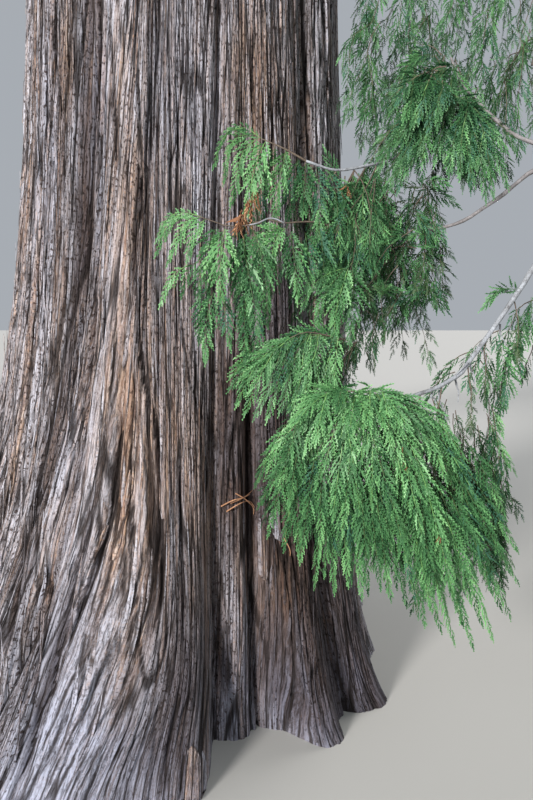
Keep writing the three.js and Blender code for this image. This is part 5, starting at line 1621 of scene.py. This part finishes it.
def build_crown():
    boughs_count = 0
    for level, s in enumerate(SHELVES):
        sprays, boughs, twigs = Sprays(), Tubes(), Tubes()
        per = [9, 9, 10, 11, 13, 13, 16][level]
        for i in range(s["n"]):
            seed = level * 10 + i
            g = np.random.default_rng(900 + seed)
            angle = s["turn"] + 360 * i / s["n"]
            lift = (0.52 if level < 6 else 0.06) * (frac_hash(seed + 0.3) - 0.5) + (0.5 * math.cos(math.radians(angle - 262)) if level == 0 else 0)
            r_out = s["reach"] * (0.84 + 0.16 * frac_hash(seed + 0.2))
            weep = s["weep"] * (0.7 + 0.6 * frac_hash(seed + 0.6))
            half = 180 / s["n"]
            z_bot, z_top = s["z0"] + lift, s["z1"] + lift * 0.5
            r_in = float(stem_r(angle, s["z0"]))

            def shelf_z(rho, t, f):
                top = z_top - s["dout"] * rho * (0.75 + 0.25 * t) + 0.05 * r_out * math.sin(math.pi * min(t, 1))
                bot = z_bot - s["din"] * rho - weep * t * t
                h = 0.5 * (top - bot) * math.sin(math.pi * (0.22 + 0.66 * min(t, 1))) ** 0.6
                return 0.5 * (top + bot) + (2 * f - 1) * h

            n_b = per
            for b in range(n_b):
                su = ((b + 0.5) / n_b * 2 - 1) if n_b > 1 else 0
                su = max(-0.92, min(0.92, su + g.uniform(-0.14, 0.14)))
                f = (((b * 0.618034 + frac_hash(seed)) % 1) * 0.86 + 0.07) * (0.72 if level == 6 else 1)
                ang = math.radians(angle + su * half)
                reach = r_out * (1 - 0.16 * su * su) * g.uniform(0.88, 1.0) * (1 - (0.70 if level == 6 else 0.06) * f) * (1.12 if level == 6 else 1)
                if math.sin(ang) < -0.3:
                    reach = min(reach, -4.26 / math.sin(ang))
                pts = []
                for t in np.linspace(0, 1, 7):
                    rho = max(0.02, r_in - 0.05) + (reach - r_in) * t
                    z = shelf_z(rho, t, f)
                    sag = -0.10 * (reach - r_in) * math.sin(math.pi * t) + 0.10 * (reach - r_in) * max(0, t - 0.75)
                    wob = math.radians(3.5) * math.sin(3 * t + b)
                    pts.append([rho * math.cos(ang + wob * t), rho * math.sin(ang + wob * t), z + sag * 0.5])
                pts = np.array(pts)
                rs = float(stem_r(math.degrees(ang), max(0.5, pts[0][2])))
                pts[0][:2] = [(rs - 0.04) * math.cos(ang), (rs - 0.04) * math.sin(ang)]
                P = spline(pts, 22)
                L = float(np.linalg.norm(np.diff(P, axis=0), axis=1).sum())
                r0 = (0.020 + 0.015 * L) * (0.8 if level > 3 else 1)
                boughs.add(P[::2], r0, 0.006, 5, 0.08)
                boughs_count += 1
                tan = unit(np.gradient(P, axis=0))
                scale = [0.62, 0.62, 0.60, 0.56, 0.50, 0.42, 0.30][level]
                q, side = [0.34, 0.20, 0.18, 0.14, 0.10, 0.06, 0.04][level], 1
                stepq = [0.145, 0.145, 0.140, 0.130, 0.115, 0.095, 0.070][level] / max(L, 0.4)
                while q < 1.0:
                    k = q * 21
                    k0 = min(20, int(k))
                    o = P[k0] + (P[k0 + 1] - P[k0]) * (k - k0)
                    d = tan[k0]
                    out = unit(np.array([d[0], d[1], 0]))
                    lat = np.array([-out[1], out[0], 0]) * side
                    tl = (0.26 + 0.10 * L) * min(1, 0.35 + q) * (1.25 - 0.80 * q) * g.uniform(0.7, 1.25)
                    td = unit(out * g.uniform(0.5, 0.95) + lat * 0.9 + np.array([0, 0, g.uniform(-0.30, 0.05)]))
                    e = o + td * tl + np.array([0, 0, -0.30 * tl])
                    m = o + td * tl * 0.55
                    twigs.add(np.array([o, m, e]), 0.007, 0.003, 3, 0, cap=False)
                    n_f = max(2, int(round(tl / (0.135 if level < 5 else 0.11))))
                    for c in range(n_f):
                        u = (c + 0.7) / n_f
                        p = o * (1 - u) ** 2 + 2 * m * u * (1 - u) + e * u * u
                        hang = g.uniform(0.55, 1.5)
                        dirn = unit(td * 0.75 + out * 0.25 + np.array([g.normal(0, 0.25), g.normal(0, 0.25), -hang]))
                        nn = unit(np.array([g.normal(0, 1), g.normal(0, 1), g.normal(0, 0.35)]) + 0.9 * out + np.array([0, 0, 0.5]))
                        ln = scale * g.uniform(0.62, 1.12) * (0.75 + 0.25 * u)
                        # outer sprays in fresh greens, inner ones in the deep and dark greens as painted shade
                        outer = q * 0.6 + u * 0.25 + f * 0.15
                        roll = g.random()
                        if outer > 0.62:
                            pal = (0 if roll < 0.16 else 1 if roll < 0.52 else 2 if roll < 0.85 else 4)
                        elif outer > 0.4:
                            pal = (1 if roll < 0.18 else 2 if roll < 0.62 else 3 if roll < 0.82 else 4)
                        else:
                            pal = (2 if roll < 0.2 else 3 if roll < 0.6 else 5 if roll < 0.8 else 6)
                        sprays.add(FAR, p, dirn, nn, ln, g.uniform(0.2, 0.9), pal, 1.0)
                    q += stepq * g.uniform(0.75, 1.25)
                    side = -side
                for c in range(3):
                    dirn = unit(tan[-1] + np.array([g.normal(0, 0.3), g.normal(0, 0.3), -0.5]))
                    sprays.add(FAR, P[-1 - c], dirn, unit(g.normal(0, 1, 3) + np.array([0, 0, 0.8])), scale * 0.9, 0.5, int(g.choice([0, 1, 1, 2])), 1.0)
        if level == 6:
            g = np.random.default_rng(77)
            # short boughs round the leader, from the neck to the tip
            for c in range(110):
                z = 22.9 + 4.65 * ((c + g.random()) / 110) ** 1.15
                a = 2.399963 * c + 0.7
                r_s = float(stem_r(math.degrees(a), z))
                out = np.array([math.cos(a), math.sin(a), 0])
                lb = max(0.05, 0.285 * (27.75 - z) * g.uniform(0.85, 1.08))
                o = out * (r_s - 0.02) + np.array([0, 0, z])
                m, e = o + out * lb * 0.55 + np.array([0, 0, 0.14 * lb]), o + out * lb + np.array([0, 0, -0.14 * lb])
                boughs.add(np.array([o, m, e]), 0.005 + 0.010 * lb, 0.003, 4, 0)
                n_f = max(2, int(round(lb / 0.085)))
                for j in range(n_f):
                    u = (j + 0.8) / n_f
                    p = o * (1 - u) ** 2 + 2 * m * u * (1 - u) + e * u * u
                    lat = np.array([-out[1], out[0], 0]) * (1 if j % 2 else -1)
                    dirn = unit(out * 0.6 + lat * g.uniform(0.2, 0.8) + np.array([0, 0, -g.uniform(0.3, 1.0)]))
                    nn = unit(np.array([g.normal(0, 1), g.normal(0, 1), 0.3]) + 0.9 * out + np.array([0, 0, 0.5]))
                    sprays.add(FAR, p, dirn, nn, g.uniform(0.26, 0.36) * (0.45 + 0.55 * min(1, lb / 0.8)), g.uniform(0.2, 0.8), int(g.choice([0, 1, 1, 2, 2, 4])), 1.0)
            for c in range(150):
                z = 24.4 + 3.3 * (c + g.random()) / 150
                a = 2.399963 * c
                r_s = float(stem_r(math.degrees(a), z))
                p = np.array([r_s * math.cos(a), r_s * math.sin(a), z])
                out = np.array([math.cos(a), math.sin(a), 0])
                ln = 0.10 + 0.26 * (27.8 - z) / 3.4
                sprays.add(FAR, p - 0.02 * out, unit(out + np.array([0, 0, g.uniform(-0.3, 0.25)])), unit(np.array([g.normal(0, 0.5), g.normal(0, 0.5), 1.0])),
                           ln * g.uniform(0.8, 1.1), g.uniform(0.4, 1.1), int(g.choice([0, 1, 1, 2, 2, 4])), 1.0)
            # the nodding leader
            for c in range(8):
                a = 2.399963 * c
                up = np.array([0.30 * math.cos(a), 0.30 * math.sin(a), 1.0])
                sprays.add(FAR, np.array([0.0, 0.0, 27.62 - 0.045 * c]), unit(up), unit(np.array([math.cos(a), math.sin(a), 0.15])), 0.29, 0.7, 1 + c % 2, 1.0)
        name = f"crown_{level + 1}"
        # the sprays of each shelf, without those over the open side of the trunk below the skirt
        ob = sprays.build(f"{name}_sprays", "foliage", open_side)
        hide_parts(*[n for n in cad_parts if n.startswith(f"foliage_shelf{level + 1}_")])
        ob = boughs.build(f"{name}_boughs", BOUGH, "limb_bark")
        if level == 0:
            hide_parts(*[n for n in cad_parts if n.startswith("bough_shelf1_")])
        twigs.build(f"{name}_twigs", TWIG, "limb_bark")
    print("boughs in the crown", boughs_count)


# ------------------------------------------------------------------ stage, lights, camera
def stage():
    m, nt, p = new_mat("pale_floor")
    p.inputs["Base Color"].default_value = (0.50, 0.49, 0.47, 1)
    p.inputs["Roughness"].default_value = 0.9
    me = bpy.data.meshes.new("floor")
    s = 260
    me.from_pydata([(-s, -s, 0), (s, -s, 0), (s, s, 0), (-s, s, 0)], [], [(0, 1, 2, 3)])
    me.materials.append(m)
    ob = bpy.data.objects.new("floor", me)
    bpy.context.scene.collection.objects.link(ob)
    ob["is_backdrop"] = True

    sc = bpy.context.scene
    sc.view_settings.view_transform = "Standard"
    sc.view_settings.look = "None"
    w = bpy.data.worlds.new("studio")
    sc.world = w
    w.use_nodes = True
    bg = w.node_tree.nodes["Background"]
    bg.inputs[0].default_value = (0.86, 0.92, 1.0, 1)
    bg.inputs[1].default_value = 0.45

    def sun(name, azimuth, elevation, energy, soft, colour):
        """A far, soft light from a compass angle (degrees from +X) and a height above the horizon."""
        li = bpy.data.lights.new(name, "SUN")
        li.energy, li.angle, li.color = energy, math.radians(soft), colour
        o = bpy.data.objects.new(name, li)
        o.rotation_euler = (math.radians(90 - elevation), 0, math.radians(azimuth + 90))
        sc.collection.objects.link(o)

    sun("key", 240, 17, 4.5, 11, (1.0, 0.975, 0.945))
    sun("fill", 290, 40, 0.7, 40, (0.94, 0.97, 1.0))
    sun("back", 62, 38, 1.3, 30, (1.0, 0.98, 0.94))

    cam = bpy.data.cameras.new("camera")
    cam.sensor_width, cam.sensor_fit = 36.0, "AUTO"
    cam.lens = FOCAL_PX / 800 * 36.0
    cam.clip_start, cam.clip_end = 0.05, 500
    co = bpy.data.objects.new("camera", cam)
    co.location = CAM
    co.rotation_euler = (math.radians(90) - PITCH, 0, 0)
    bpy.context.scene.collection.objects.link(co)
    bpy.context.scene.camera = co


stage()
build_trunk()
LIMBS = low_boughs()
low_foliage(LIMBS)
build_crown()

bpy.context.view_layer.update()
total = sum(len(o.data.polygons) * (2 if len(o.data.polygons[0].vertices) == 4 else 1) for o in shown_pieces() if o.type == "MESH")
print("triangles in all", total)
